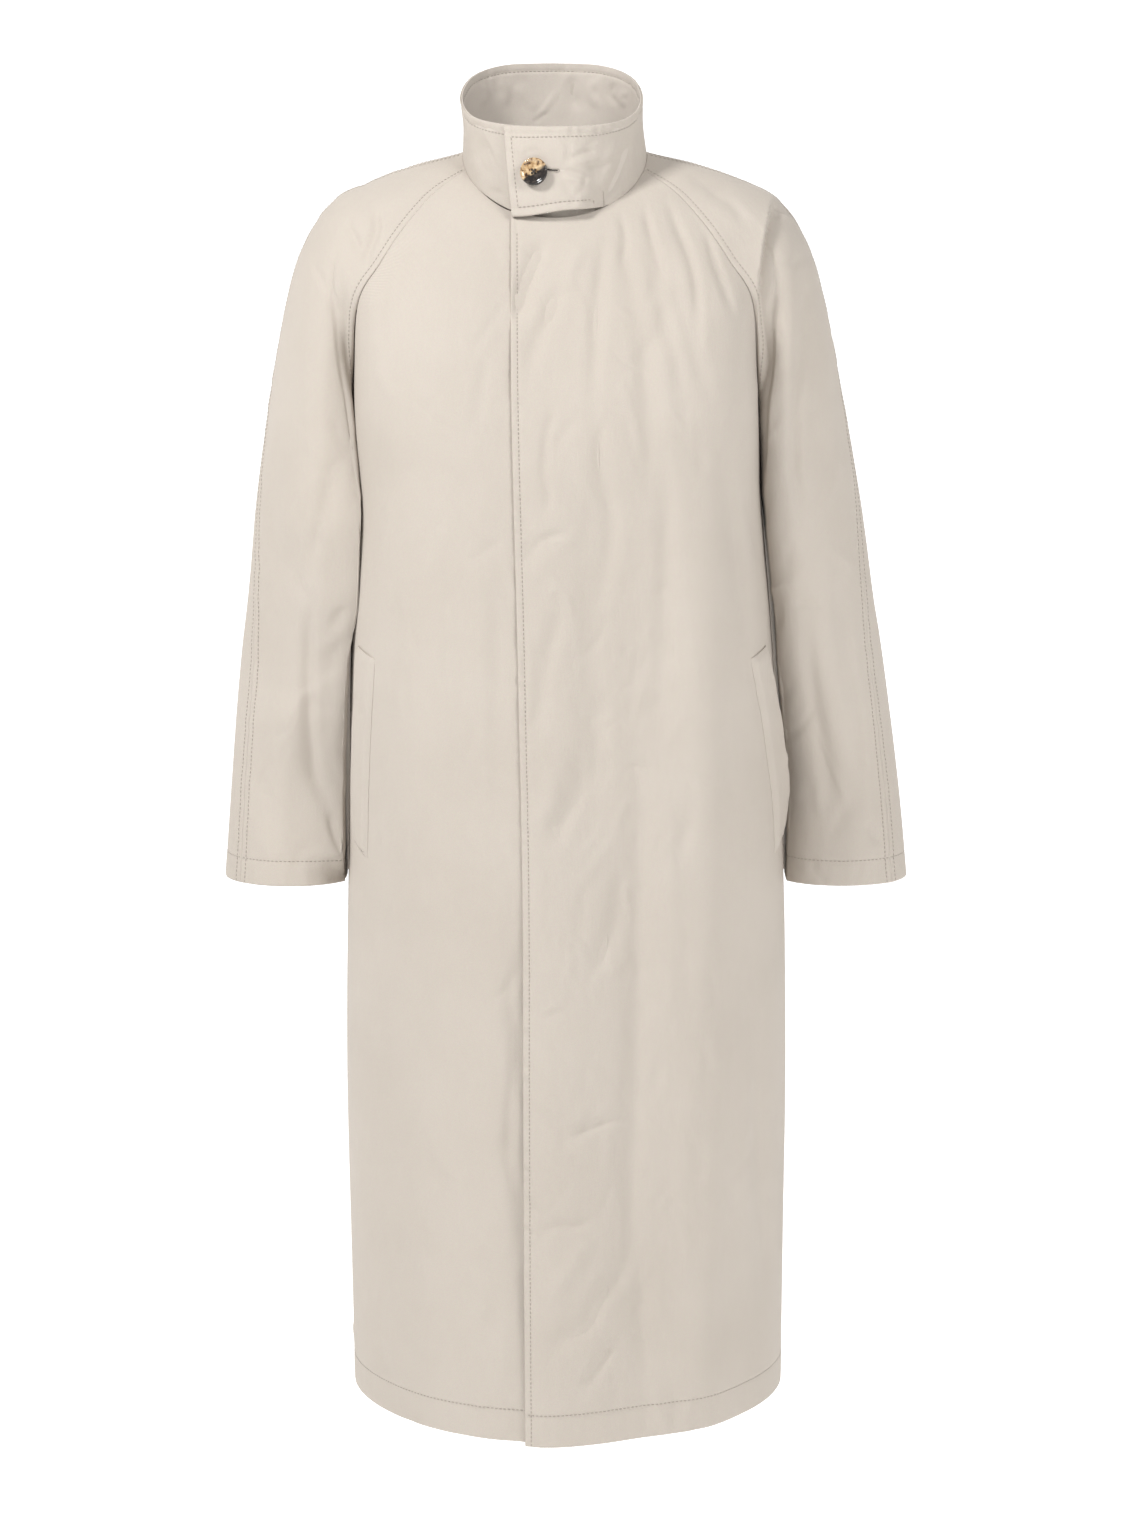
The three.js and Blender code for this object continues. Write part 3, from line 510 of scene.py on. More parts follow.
front_left_creases = [
    ([(549, 232), (538, 255), (523, 292), (516, 330)], 9, 2.6, 0.3),
    ([(570, 270), (556, 300), (540, 335), (528, 385)], 9, 2.0, 0.2),
    ([(590, 240), (575, 262), (560, 300)], 8, -1.2, 0),
    ([(607, 222), (602, 262), (597, 315), (595, 365), (594, 410)], 8, 1.9, 0),
    ([(594, 400), (600, 450), (611, 520), (609, 560), (600, 610)], 9, 1.8, 0),
    ([(619, 210), (626, 238), (622, 268)], 5, 1.2, 0.2),
    ([(644, 200), (651, 232), (661, 264), (668, 292)], 5, 1.7, 0.4),
    ([(664, 190), (676, 222), (688, 250), (697, 285), (701, 350)], 5.5, 1.9, 0.4),
    ([(695, 215), (709, 234), (716, 262), (727, 292), (737, 322)], 5, 1.6, 0.4),
    ([(672, 285), (664, 318), (650, 350), (645, 392), (650, 450), (651, 530)], 12, 1.8, 0),
    ([(556, 402), (548, 435), (545, 470), (549, 500), (541, 522)], 5, 1.4, 0.3),
    ([(570, 535), (552, 536), (537, 545), (525, 565)], 5, 1.1, 0),
    ([(562, 588), (557, 628), (548, 655), (541, 700), (537, 745)], 9, 1.6, 0.2),
    ([(665, 430), (668, 520), (666, 640), (661, 760)], 10, 1.8, 0.2),
    ([(726, 448), (732, 500), (740, 575), (744, 650)], 9, 3.0, 0.5),
    ([(580, 745), (578, 790), (560, 828), (544, 856)], 11, 1.9, 0.3),
    ([(600, 690), (598, 760), (590, 800)], 9, 1.2, 0),
    ([(548, 765), (552, 800), (540, 825)], 9, -1.4, 0),
    ([(622, 860), (616, 920), (602, 958), (590, 985)], 10, 2.2, 0.2),
    ([(645, 740), (641, 900), (640, 1050), (634, 1200), (640, 1330)], 13, 2.6, 0.3),
    ([(668, 760), (672, 900), (670, 1100)], 12, -1.6, 0),
    ([(700, 980), (704, 1080), (700, 1200), (706, 1320)], 12, 1.2, 0),
    ([(566, 1006), (553, 1014), (540, 1018)], 4.5, 1.0, 0),
    ([(632, 1116), (606, 1124), (585, 1131), (562, 1142)], 6, 1.8, 0.4),
    ([(598, 1218), (574, 1226), (552, 1225), (536, 1240)], 6, 1.5, 0.3),
    ([(632, 1236), (621, 1276), (602, 1302), (588, 1326), (566, 1338), (540, 1366)], 11, 2.2, 0.4),
    ([(592, 1236), (570, 1268), (548, 1300)], 9, -1.6, 0),
    ([(622, 1338), (604, 1362), (580, 1394)], 7, 1.8, 0.2),
    ([(652, 1250), (646, 1320), (650, 1400)], 9, 1.3, 0),
    ([(764, 1010), (758, 1120), (764, 1240), (760, 1350)], 9, 2.2, 0),
    ([(744, 1000), (742, 1150), (748, 1300)], 10, -1.2, 0),
    ([(735, 1180), (722, 1290), (716, 1380)], 9, 1.2, 0),
]
front_right_creases = [
    ([(519, 950), (509, 990), (514, 1050), (507, 1146), (516, 1209), (514, 1302)], 6, 1.6, -0.3),
    ([(474, 1250), (492, 1290), (488, 1360)], 10, 1.2, 0),
    ([(410, 525), (401, 575), (392, 630), (388, 720)], 11, 1.1, 0),
    ([(462, 480), (458, 620), (470, 760)], 14, 0.9, 0),
    ([(500, 560), (496, 700), (500, 860)], 10, 1.0, 0),
    ([(402, 1050), (380, 1050), (358, 1045)], 7, 0.7, 0),
    ([(376, 1336), (381, 1352), (386, 1376)], 7, 1.0, 0),
    ([(392, 255), (382, 300), (380, 350)], 9, 1.0, 0.2),
    ([(420, 232), (408, 270), (404, 320)], 10, 0.8, 0),
    ([(363, 690), (361, 705), (366, 724)], 5, 1.3, 0),
    ([(537, 890), (539, 1080), (541, 1290), (542, 1440)], 24, 3.2, 0),
    ([(430, 900), (424, 1000), (434, 1100)], 14, 0.9, 0),
]
sleeve_left_creases = [
    ([(772, 203), (776, 209), (784, 216)], 4, 1.4, 0),
    ([(801, 232), (805, 270), (806, 325), (800, 400), (796, 452), (804, 550)], 8, 2.6, 0.2),
    ([(822, 300), (826, 380), (830, 470)], 8, -1.4, 0),
    ([(790, 606), (808, 604), (828, 606)], 4, 0.9, 0),
    ([(842, 560), (846, 640), (858, 720), (860, 800)], 8, 2.0, 0.2),
    ([(806, 590), (812, 680), (824, 760), (838, 836)], 10, 1.8, 0),
    ([(866, 822), (874, 832), (880, 846)], 5, 1.3, 0),
    ([(700, 187), (730, 202), (752, 228)], 7, 1.4, 0.2),
    ([(688, 178), (712, 186), (738, 190)], 6, 0.9, 0),
]
sleeve_left_edges = [
    ([(775, 194), (770, 210), (765, 232), (761, 258), (758, 290), (758, 330), (759, 400)], 8.5, 3.4, 13),
    ([(772, 203), (777, 208), (786, 214), (792, 216)], 1.6, 2.5, 5),
]
sleeve_right_creases = [
    ([(374, 203), (377, 228), (369, 250), (364, 272)], 5, 2.0, 0.3),
    ([(346, 220), (354, 236), (362, 254)], 5, 1.6, 0.3),
    ([(333, 258), (344, 312), (352, 372), (355, 440)], 8, 3.0, 0.3),
    ([(331, 456), (326, 500), (316, 540), (309, 570)], 8, 2.0, 0.2),
    ([(313, 585), (308, 650), (312, 750), (326, 800), (338, 830)], 8, 2.8, 0.3),
    ([(340, 604), (334, 616), (330, 632)], 5, 1.0, 0),
    ([(275, 440), (271, 500), (276, 560)], 10, 1.6, 0),
    ([(350, 640), (338, 700), (332, 760)], 8, -1.2, 0),
    ([(270, 620), (262, 720), (268, 820)], 12, 1.3, 0),
    ([(330, 806), (334, 830), (346, 856)], 5, 1.6, 0),
]
front_left_creases += small_creases(11, 110, (512, 784, 230, 1410))
front_left_creases += small_creases(16, 140, (520, 680, 520, 1400), 0.55, 0.55)
front_right_creases += small_creases(12, 70, (352, 516, 230, 1410))
sleeve_left_creases += small_creases(13, 60, (762, 900, 190, 850))
sleeve_right_creases += small_creases(14, 60, (232, 366, 190, 850))
back_creases = [
    ([(52, -60), (66, -110), (92, -160)], 9, 2.0, 0.3),
    ([(-50, -62), (-62, -118), (-94, -170)], 9, 2.2, 0.3),
    ([(20, -70), (14, -160), (20, -260)], 11, 1.6, 0),
    ([(-24, -75), (-18, -170), (-26, -280)], 11, 1.5, 0),
    ([(128, -170), (112, -230), (108, -320)], 9, 2.4, 0.3),
    ([(-130, -175), (-116, -240), (-104, -330)], 9, 2.2, 0.3),
    ([(96, -330), (60, -350), (20, -352)], 9, 1.3, 0),
    ([(4, -400), (-6, -560), (4, -760)], 14, 1.8, 0),
    ([(110, -520), (118, -700), (108, -900)], 13, 2.0, 0),
    ([(-112, -480), (-104, -680), (-116, -880)], 13, 2.2, 0),
    ([(36, -760), (30, -920), (42, -1100)], 14, 2.2, 0),
    ([(-30, -820), (-40, -960), (-30, -1120)], 14, 2.0, 0),
    ([(160, -700), (168, -900), (160, -1080)], 12, 1.8, 0),
    ([(-168, -680), (-160, -900), (-170, -1100)], 12, 1.9, 0),
    ([(70, -560), (40, -590), (10, -596)], 8, 1.0, 0),
    ([(-80, -640), (-56, -664), (-30, -668)], 8, 1.0, 0),
]
back_creases += small_creases(15, 150, (-190, 190, -1130, -90))
# On the backs of the sleeves a place is millimetres round from the over seam, and a height is z
back_left_creases = [
    ([(28, -60), (52, -110), (70, -170)], 9, 2.2, 0.3),
    ([(60, -90), (84, -150), (96, -210)], 8, 2.0, 0.3),
    ([(92, -230), (80, -300), (88, -380)], 8, 2.4, 0.2),
    ([(40, -240), (50, -340), (44, -440)], 11, 1.8, 0),
    ([(96, -420), (76, -446), (52, -452)], 6, 1.8, 0.3),
    ([(100, -470), (80, -500), (48, -512)], 7, 1.6, 0.3),
    ([(60, -520), (70, -580), (62, -650)], 9, 1.8, 0),
    ([(24, -560), (28, -610), (22, -660)], 8, 1.0, 0),
]
back_right_creases = [
    ([(26, -58), (48, -112), (72, -176)], 9, 2.0, 0.3),
    ([(64, -96), (86, -160), (94, -214)], 8, 2.1, 0.3),
    ([(90, -236), (84, -310), (92, -390)], 8, 2.4, 0.2),
    ([(46, -230), (40, -330), (50, -450)], 11, 1.7, 0),
    ([(98, -400), (74, -430), (50, -434)], 6, 1.7, 0.3),
    ([(102, -486), (78, -508), (54, -524)], 7, 1.6, 0.3),
    ([(66, -530), (58, -590), (68, -655)], 9, 1.9, 0),
]
collar_front_creases = [
    ([(560, 166), (572, 158), (584, 152), (600, 150)], 3.5, 1.3, 0.3),
    ([(558, 170), (576, 172), (596, 181)], 3.5, 1.3, 0.3),
    ([(556, 172), (566, 184), (573, 198)], 3.5, 1.0, 0.2),
    ([(562, 163), (569, 150), (563, 138)], 3.5, 1.0, 0.2),
    ([(583, 160), (600, 166), (612, 160), (624, 148)], 4, 1.1, 0.2),
    ([(566, 160), (584, 163), (600, 158)], 3, -0.9, 0),
    ([(562, 176), (578, 182), (592, 194)], 3.2, -0.8, 0),
    ([(634, 132), (624, 162), (612, 188), (600, 206)], 5, 1.9, 0.4),
    ([(618, 136), (608, 168), (597, 196)], 6, -1.2, 0),
    ([(641, 118), (637, 150), (641, 178)], 4, 1.1, 0.2),
    ([(522, 158), (530, 151), (541, 150)], 3, 0.7, 0),
    ([(516, 150), (519, 176), (524, 204)], 3.5, 0.8, 0),
    ([(474, 110), (480, 140), (478, 168)], 4.5, 0.9, 0.2),
    ([(492, 118), (487, 150), (495, 188)], 5, 1.0, 0.2),
    ([(466, 116), (470, 146), (476, 176)], 4, -0.8, 0),
    ([(484, 196), (496, 192), (506, 198)], 3.5, 0.8, 0),
]
collar_front_creases += small_creases(18, 30, (462, 646, 110, 200), 0.6, 0.5)
# What is seen inside the collar. A trough here is a ridge on the side that shows.
collar_inside_creases = [
    ([(560, 87), (547, 106), (533, 123)], 2.6, 0.9, 0),
    ([(548, 112), (540, 117), (532, 124)], 2.4, -0.8, 0),
    ([(516, 84), (526, 98), (538, 112)], 6, 0.9, 0),
    ([(476, 84), (484, 92), (480, 108)], 4, 0.9, 0.2),
    ([(498, 78), (504, 92), (500, 108)], 6, 0.8, 0),
    ([(600, 76), (592, 92), (600, 110)], 5, 1.4, 0),
    ([(618, 82), (612, 94), (620, 106)], 4, -1.2, 0),
    ([(578, 74), (572, 92), (580, 112)], 6, -1.2, 0),
    ([(630, 90), (624, 98), (628, 108)], 3.5, 1.2, 0),
]
# Elsewhere on the collar a place is degrees round from the front as the collar is cut, times 1.4, and a height is
# in millimetres.
collar_creases = [
    ([(-404, 66), (-396, 40), (-400, 14)], 8, 0.9, 0),
    ([(-330, 70), (-318, 44), (-326, 12)], 10, 1.0, 0),
    ([(-280, 66), (-262, 44), (-256, 12)], 10, 1.2, 0.2),
    ([(-220, 60), (-236, 34), (-230, 10)], 10, 1.0, 0),
    ([(-160, 66), (-172, 40), (-166, 14)], 9, 1.0, 0),
    ([(-118, 62), (-112, 40), (-124, 12)], 8, 1.0, 0),
    ([(-66, 50), (-72, 30), (-64, 10)], 8, 1.0, 0),
]


# Meshes

def noise_line(length_mm, wave_mm, seed):
    """A smooth random function of a distance, -1 to 1, as a callable."""
    rng = np.random.default_rng(seed)
    knots = rng.uniform(-1, 1, int(length_mm / wave_mm) + 6)

    def at(s):
        place = np.clip(np.asarray(s, float) / wave_mm + 1, 0, len(knots) - 1.001)
        return column(knots[:, None], place)[..., 0]

    return at


def run_along(points, axis):
    """Distances from the first point along each row or column of a grid."""
    steps = np.linalg.norm(np.diff(points, axis=axis), axis=-1)
    return np.cumsum(np.insert(steps, 0, 0, axis=axis), axis=axis)


def spaced(total, interior):
    """Distances along a row: close together near its edges, even between."""
    steps = EDGE_STEPS * min(1.0, total / EDGE_FULL_WIDTH)
    middle = np.linspace(steps[-1], total - steps[-1], interior + 2)[1:-1]
    return np.concatenate([steps, middle, (total - steps)[::-1]])


def hem_level(heights, depth):
    """The level of the hem's stitches, between the last two rows of a table."""
    return len(heights) - 1 - depth / (heights[-2] - heights[-1])


BODY_HEM_LEVEL = hem_level(body_levels[:, SZ], BODY_HEM_DEPTH)


def even_levels(surface, probes, end, row_step, hem_at):
    """Levels so that rows are evenly apart, with one at the hem's stitches and close ones at the ends."""
    v = np.linspace(0, end, 1201)
    s = sum(run_along(surface(np.full_like(v, a), v), 0) for a in probes) / len(probes)
    stop, last = np.interp(hem_at, v, s), s[-1] - LAST_ROWS[0]
    top = TOP_ROWS[-1]
    upper = np.linspace(top, stop, 2 * int(round((stop - top) / row_step / 2)) + 1)[1:]
    lower = np.linspace(stop, last, int((last - stop) / row_step) + 1)[1:]
    rows = np.concatenate([TOP_ROWS, upper, lower, s[-1] - np.array(LAST_ROWS[1:])])
    if len(rows) % 2 == 0:
        rows = np.sort(np.append(rows, (rows[5] + rows[6]) / 2))
    return np.interp(rows, s, v), int(np.argmin(np.abs(rows - stop)))


def place_columns(surface, v, a_from, a_to, interior):
    """Places for each level so that columns lie at set distances from the row's two ends."""
    a = a_from[:, None] + (a_to - a_from)[:, None] * np.linspace(0, 1, ROW_PROBES)
    s = run_along(surface(a, np.broadcast_to(v[:, None], a.shape).copy()), 1)
    spots = np.array([spaced(total, interior) for total in s[:, -1]])
    places = np.array([np.interp(spot, own, row) for spot, own, row in zip(spots, s, a)])
    return places, spots, s[:, -1]


def grid_normals(p):
    return unit(np.cross(np.gradient(p, axis=0), np.gradient(p, axis=1)))


def make_object(name, verts, faces, uv=None):
    """An object with smooth faces, which come as arrays of index rows, one array for each size of face."""
    loops = np.concatenate([np.ravel(f) for f in faces]).astype(np.int32)
    sizes = np.concatenate([np.full(len(f), np.shape(f)[1]) for f in faces])
    starts = np.concatenate([[0], np.cumsum(sizes)[:-1]]).astype(np.int32)
    mesh = bpy.data.meshes.new(name)
    mesh.vertices.add(len(verts))
    mesh.vertices.foreach_set("co", np.asarray(verts, np.float32).ravel())
    mesh.loops.add(len(loops))
    mesh.loops.foreach_set("vertex_index", loops)
    mesh.polygons.add(len(sizes))
    mesh.polygons.foreach_set("loop_start", starts)
    mesh.update(calc_edges=True)
    if uv is not None:
        layer = mesh.uv_layers.new(name="cloth")
        layer.data.foreach_set("uv", uv[loops].astype(np.float32).ravel())
    mesh.polygons.foreach_set("use_smooth", np.ones(len(sizes), bool))
    mesh.validate()
    obj = bpy.data.objects.new(name, mesh)
    bpy.context.scene.collection.objects.link(obj)
    return obj


def shell_mesh(name, outer, wall, uv):
    """A closed shell from a grid of outer points and a wall: the inner side is half as fine. Rows go down the
    cloth and columns round it so that down x round points out."""
    m, n = outer.shape[:2]
    assert m % 2 == 1 and n % 2 == 1, (name, m, n)
    inner = (outer - grid_normals(outer) * wall[..., None])[::2, ::2]
    verts = np.concatenate([outer.reshape(-1, 3), inner.reshape(-1, 3)]) * MM
    o = np.arange(m * n).reshape(m, n)
    q = m * n + np.arange(inner[..., 0].size).reshape(inner.shape[:2])
    quads = np.concatenate([
        np.stack([o[:-1, :-1], o[1:, :-1], o[1:, 1:], o[:-1, 1:]], -1).reshape(-1, 4),
        np.stack([q[:-1, :-1], q[:-1, 1:], q[1:, 1:], q[1:, :-1]], -1).reshape(-1, 4),
    ])
    tris = []
    edges = ((o[:, 0], q[:, 0], 1), (o[:, -1], q[:, -1], -1), (o[0], q[0], -1), (o[-1], q[-1], 1))
    for fine, coarse, way in edges:
        a, b, c = fine[:-2:2], fine[1::2], fine[2::2]
        d, e = coarse[:-1], coarse[1:]
        tris += [np.stack(t[::way], -1) for t in ((a, d, b), (b, d, e), (b, e, c))]
    both = np.concatenate([uv.reshape(-1, 2), uv[::2, ::2].reshape(-1, 2)]) * MM
    return make_object(name, verts, [quads, np.concatenate(tris)], both)


def edge_share(d):
    """1 at a cut edge, down to 0 where it has rounded off."""
    return np.clip(1 - d / EDGE_ROUND["reach"], 0, 1) ** 2


def rounding(d):
    """How far a cut edge rounds in at a distance from it."""
    return EDGE_ROUND["outside"] * edge_share(d)


def seam_groove(d):
    """A sewn seam pulls the cloth down into a fine channel."""
    return SEAM_GROOVE * np.exp(-d ** 2)


def stitch_groove(d, at, depth):
    return depth * np.exp(-((d - at) / STITCH_GROOVE_WIDTH) ** 2)


class Panel:
    """One panel's grid: places, distances from its edges and its points, before and after folds."""

    def __init__(self, surface, cloth, levels, a_from, a_to, interior, places, end):
        self.v, self.hem_row = levels
        self.a, self.near, self.total = place_columns(surface, self.v, a_from, a_to, interior)
        self.level = np.broadcast_to(self.v[:, None], self.a.shape).copy()
        self.base = surface(self.a, self.level)
        self.normal = normal_of(surface, self.a, self.level, places, end)
        self.far = self.total[:, None] - self.near
        self.below = run_along(self.base, 0)
        self.above = self.below[-1] - self.below
        self.points = cloth(self)


def leaned(points, side):
    """Mirrors points to the coat's right if asked and leans them over as the coat leans."""
    x, z = points[..., 0], points[..., 2]
    lift = np.sign(x * side) * shoulder_share(x, z) * SHOULDER_LIFT["up"]
    return np.stack([x * side + lean_at(x, z), points[..., 1], z + lift], -1)


def finished(panel, name, side, hem_depth, uv_from, edges):
    """Leans a panel over and gives it its wall, thicker in the hem and thinner where its edges round off."""
    wall = np.where(panel.above < hem_depth, HEM_WALL, WALL)
    for edge in edges:
        wall = wall - EDGE_ROUND["wall"] * edge_share(edge)
    uv = np.stack([panel.near - uv_from, -panel.below], -1)
    panel.world = leaned(panel.points, side)
    if side < 0:
        panel.world, wall, uv = (grid[:, ::-1] for grid in (panel.world, wall, uv))
    panel.obj = shell_mesh(name, panel.world, wall, uv)
    return panel


def edge_fade(panel, near=False, far=False):
    """Fades folds out towards sewn seams, so that neighbouring panels meet along one line."""
    fade = np.ones_like(panel.near)
    for distance in [panel.near] * near + [panel.far] * far:
        fade = fade * smooth(0, SEAM_FADE["side"], distance)
    return fade * smooth(0, SEAM_FADE["neck"], panel.below)


def puckers(distance, along, seed, wave, reach, depth):
    """Small uneven ripples that run out from a sewn line, strongest at the line."""
    ripple = noise_line(RIPPLES_TO, wave * 0.5, seed)(along)
    strength = 0.55 + 0.45 * noise_line(RIPPLES_TO, 60, seed + 1)(along)
    return depth * ripple * strength * np.exp(-(distance / reach) ** 2)


# Fronts and back

def front_place(x, v):
    """The place on the left front at which the cloth has come a distance from the centre line."""
    low, high = np.zeros_like(v), np.ones_like(v)
    for _ in range(30):
        middle = (low + high) / 2
        inside = front_point(middle, v)[..., 0] < x
        low, high = np.where(inside, middle, low), np.where(inside, high, middle)
    return (low + high) / 2


def front_panel(name, side, creases):
    """The left front lies over the right one."""
    levels = even_levels(front_point, [0.02, 0.3, 0.7], BODY_END, ROW_STEP["front"], BODY_HEM_LEVEL)
    v = levels[0]
    edge = front_place(FRONT_EDGE, v)
    a_from, a_to = (-edge, np.ones_like(v)) if side > 0 else (-np.ones_like(v), edge)

    def cloth(p):
        x, z = p.base[..., 0], p.base[..., 2]
        lap = 1 - smooth(FRONT_EDGE, FRONT_EDGE + OVERLAP_BLEND, np.abs(x))
        at_neck = 1 - smooth(0, 1, p.level)
        lift = OVER_LIFT * lap * (1 - at_neck) if side > 0 else -lerp(UNDER_SINK, NECK_SINK, at_neck) * lap
        px, py = to_photo(leaned(p.base, 1))
        offset = fold_offset("front", x, z) * smooth(0, 2, p.level)
        offset = (offset + CREASE_GAIN * crease_offset(px, py, creases)) * edge_fade(p, side < 0, side > 0) + lift
        seam, free = (p.far, p.near) if side > 0 else (p.near, p.far)
        offset -= seam_groove(seam)
        offset -= rounding(free) + stitch_groove(free, STITCH_IN, 0.5) * (side > 0)
        offset -= rounding(p.above) + stitch_groove(p.above, BODY_HEM_DEPTH, HEM_GROOVE)
        if side > 0:
            offset += puckers(np.abs(free - 3), p.below, 3, 11, 7, 1.1) * smooth(0, 40, p.below)
        along_hem = p.near - p.total[:, None] / 2
        offset += puckers(np.abs(p.above - 16), along_hem + 400, 5 + side, 14, 14, 0.9)
        points = p.base + p.normal * offset[..., None]
        if side > 0:
            dip = smooth(CORNER_DIP["fromLevel"], CORNER_DIP["toLevel"], p.level)
            points[..., 2] -= CORNER_DIP["drop"] * (dip * (1 - smooth(-FRONT_EDGE, CORNER_DIP["reach"], x)))
        return points

    panel = Panel(front_point, cloth, levels, a_from, a_to, COLUMNS["front"], (-1, 1), BODY_END)
    free, uv_from = (panel.near, 0) if side > 0 else (panel.far, panel.total[:, None])
    return finished(panel, name, 1, BODY_HEM_DEPTH, uv_from, (free, panel.above))


def back_panel(name):
    levels = even_levels(back_point, [0.1, 0.5, 1.0], BODY_END, ROW_STEP["back"], BODY_HEM_LEVEL)
    v = levels[0]

    def cloth(p):
        x, z = p.base[..., 0], p.base[..., 2]
        offset = fold_offset("back", x, z) * smooth(0, 2, p.level) + crease_offset(x, z, back_creases)
        offset = offset * edge_fade(p, True, True)
        offset -= seam_groove(p.near) + seam_groove(p.far)
        offset -= rounding(p.above) + stitch_groove(p.above, BODY_HEM_DEPTH, 0.4)
        offset += puckers(np.abs(p.above - 16), p.near, 15, 13, 13, 0.5)
        return p.base + p.normal * offset[..., None]

    panel = Panel(back_point, cloth, levels, 0 * v, 0 * v + 2, COLUMNS["back"], (0, 2), BODY_END)
    return finished(panel, name, 1, BODY_HEM_DEPTH, panel.total[:, None] / 2, (panel.above,))


# Sleeves

def pressed(points):
    """The right sleeve's front lies level and close against the coat's side, with hardly a gap between them."""
    n = PRESSED
    x, y, z = (points[..., k] for k in range(3))
    weight = smooth(n["top"], n["full"], z) * (1 - smooth(n["low"], n["end"], z))
    front, seam = y.min(axis=1, keepdims=True), y[:, :1]
    inner = np.arange(y.shape[1])[None, :] <= y.argmin(axis=1)[:, None]
    share = 1 - (1 - np.clip((y - seam) / (front - seam), 0, 1)) ** n["power"]
    y = np.where(inner, lerp(y, seam + (front - seam) * share, weight), y)
    own = body_levels[UNDERARM:]
    coat_side = np.interp(-z, -own[:, SZ], own[:, SX])
    corner = x.min(axis=1, keepdims=True)
    gap = lerp(n["over"], n["beside"], smooth(n["overTo"], n["besideFrom"], z))
    at_corner = smooth(0.6, 0.95, share) * (1 - smooth(0, n["reach"], x - corner)) * inner
    x = x - np.maximum(corner - coat_side - gap, 0) * at_corner * weight
    return np.stack([x, y, z], -1)


def sleeve_panel(name, side, is_front, creases):
    fold_name = "left sleeve" if side > 0 else "right sleeve"
    probes = [0.1, 0.3, 0.5] if is_front else [0.5, 0.7, 0.9]

    def surface(t, v):
        return sleeve_point(t, v, side < 0)

    hem = hem_level(sleeve_levels[:, OVER_Z], SLEEVE_HEM_DEPTH)
    levels = even_levels(surface, probes, SLEEVE_END, ROW_STEP["sleeve"], hem)
    v = levels[0]
    over = lerp(OVER_SEAM["high"], OVER_SEAM["low"], smooth(OVER_SEAM["start"], OVER_SEAM["to"], v))

    def cloth(p):
        z = p.base[..., 2]
        off_seam = smooth(0, 0.1, p.a) * (1 - smooth(0.9, 1, p.a))
        offset = fold_offset(fold_name, p.a, z) * smooth(0, 2, p.level) * off_seam
        if is_front:
            px, py = to_photo(leaned(p.base, side))
            extra = CREASE_GAIN * crease_offset(px, py, creases)
            if side > 0:
                extra = extra + fold_edge_offset(px, py, sleeve_left_edges)
        else:
            extra = crease_offset(p.near, z, creases)
        offset = (offset + extra) * edge_fade(p, True, True)
        body_seam, over_seam = (p.near, p.far) if is_front else (p.far, p.near)
        offset -= seam_groove(body_seam) + seam_groove(over_seam)
        offset -= stitch_groove(body_seam, STITCH_IN, 0.35) * (1 - smooth(4.2, 5.2, p.level))
        offset -= stitch_groove(over_seam, STITCH_IN, 0.22)
        offset -= rounding(p.above) + stitch_groove(p.above, SLEEVE_HEM_DEPTH, HEM_GROOVE)
        offset += puckers(np.abs(p.above - 13), p.near + 40, 25 + side, 13, 12, 0.8)
        offset += puckers(over_seam, p.below, 35 + side, 16, 10, 0.8) * smooth(0, 60, p.below)
        points = p.base + p.normal * offset[..., None]
        return points + pressed(p.base) - p.base if is_front and side < 0 else points

    a_from, a_to = (0 * v, over) if is_front else (over, 0 * v + 1)
    columns = COLUMNS["sleeve front" if is_front else "sleeve back"]
    panel = Panel(surface, cloth, levels, a_from, a_to, columns, (0, 1), SLEEVE_END)
    return finished(panel, name, side, SLEEVE_HEM_DEPTH, 0, (panel.above,))


# Collar

def collar_point(turn, height):
    low = neck_point(turn)
    c, s = np.cos(np.radians(turn)), np.sin(np.radians(turn))

    def square(value):
        power = np.where(c > 0, 1, COLLAR_TOP["square"])
        return np.sign(value) * np.abs(value) ** power

    heights = np.array(COLLAR_TOP_HEIGHTS, float)[:, None]
    high = np.stack([
        COLLAR_TOP["halfWidth"] * square(s) + COLLAR_TOP["shiftX"],
        -np.where(c > 0, COLLAR_TOP["front"], COLLAR_TOP["back"]) * square(c),
        column(heights, np.arccos(np.clip(c, -1, 1)) / math.radians(30))[..., 0],
    ], -1)
    free = smooth(-TAB_FROM, -TAB_DROP_FROM, -turn)
    sunk = 1 - smooth(UNDER_END_FADE[0], UNDER_END_FADE[1], -turn)
    drop = TAB_DROP * smooth(-TAB_DROP_FROM, -COLLAR_TO["low"], -turn)
    share = np.clip((turn - TAB_RISE["start"]) / (TAB_RISE["to"] - TAB_RISE["start"]), 0, 1)
    low[..., 2] += SEAM_GAP + 0.1 + TAB_RISE["up"] * np.sin(math.pi * share) - drop
    point = low + (high - low) * height[..., None]
    outward = np.stack([s, -c, 0 * c], -1)
    bow = lerp(COLLAR_BOW["side"], COLLAR_BOW["front"], c * c) * np.sin(math.pi * height)
    return point + outward * (bow + TAB_STAND_OFF * free * (1 - height) - UNDER_END_SINK * sunk)[..., None]


def collar_normal(turn, height):
    across = collar_point(turn + 1, height) - collar_point(turn - 1, height)
    down = collar_point(turn, 0 * height) - collar_point(turn, 0 * height + 1)
    return unit(np.cross(down, across))


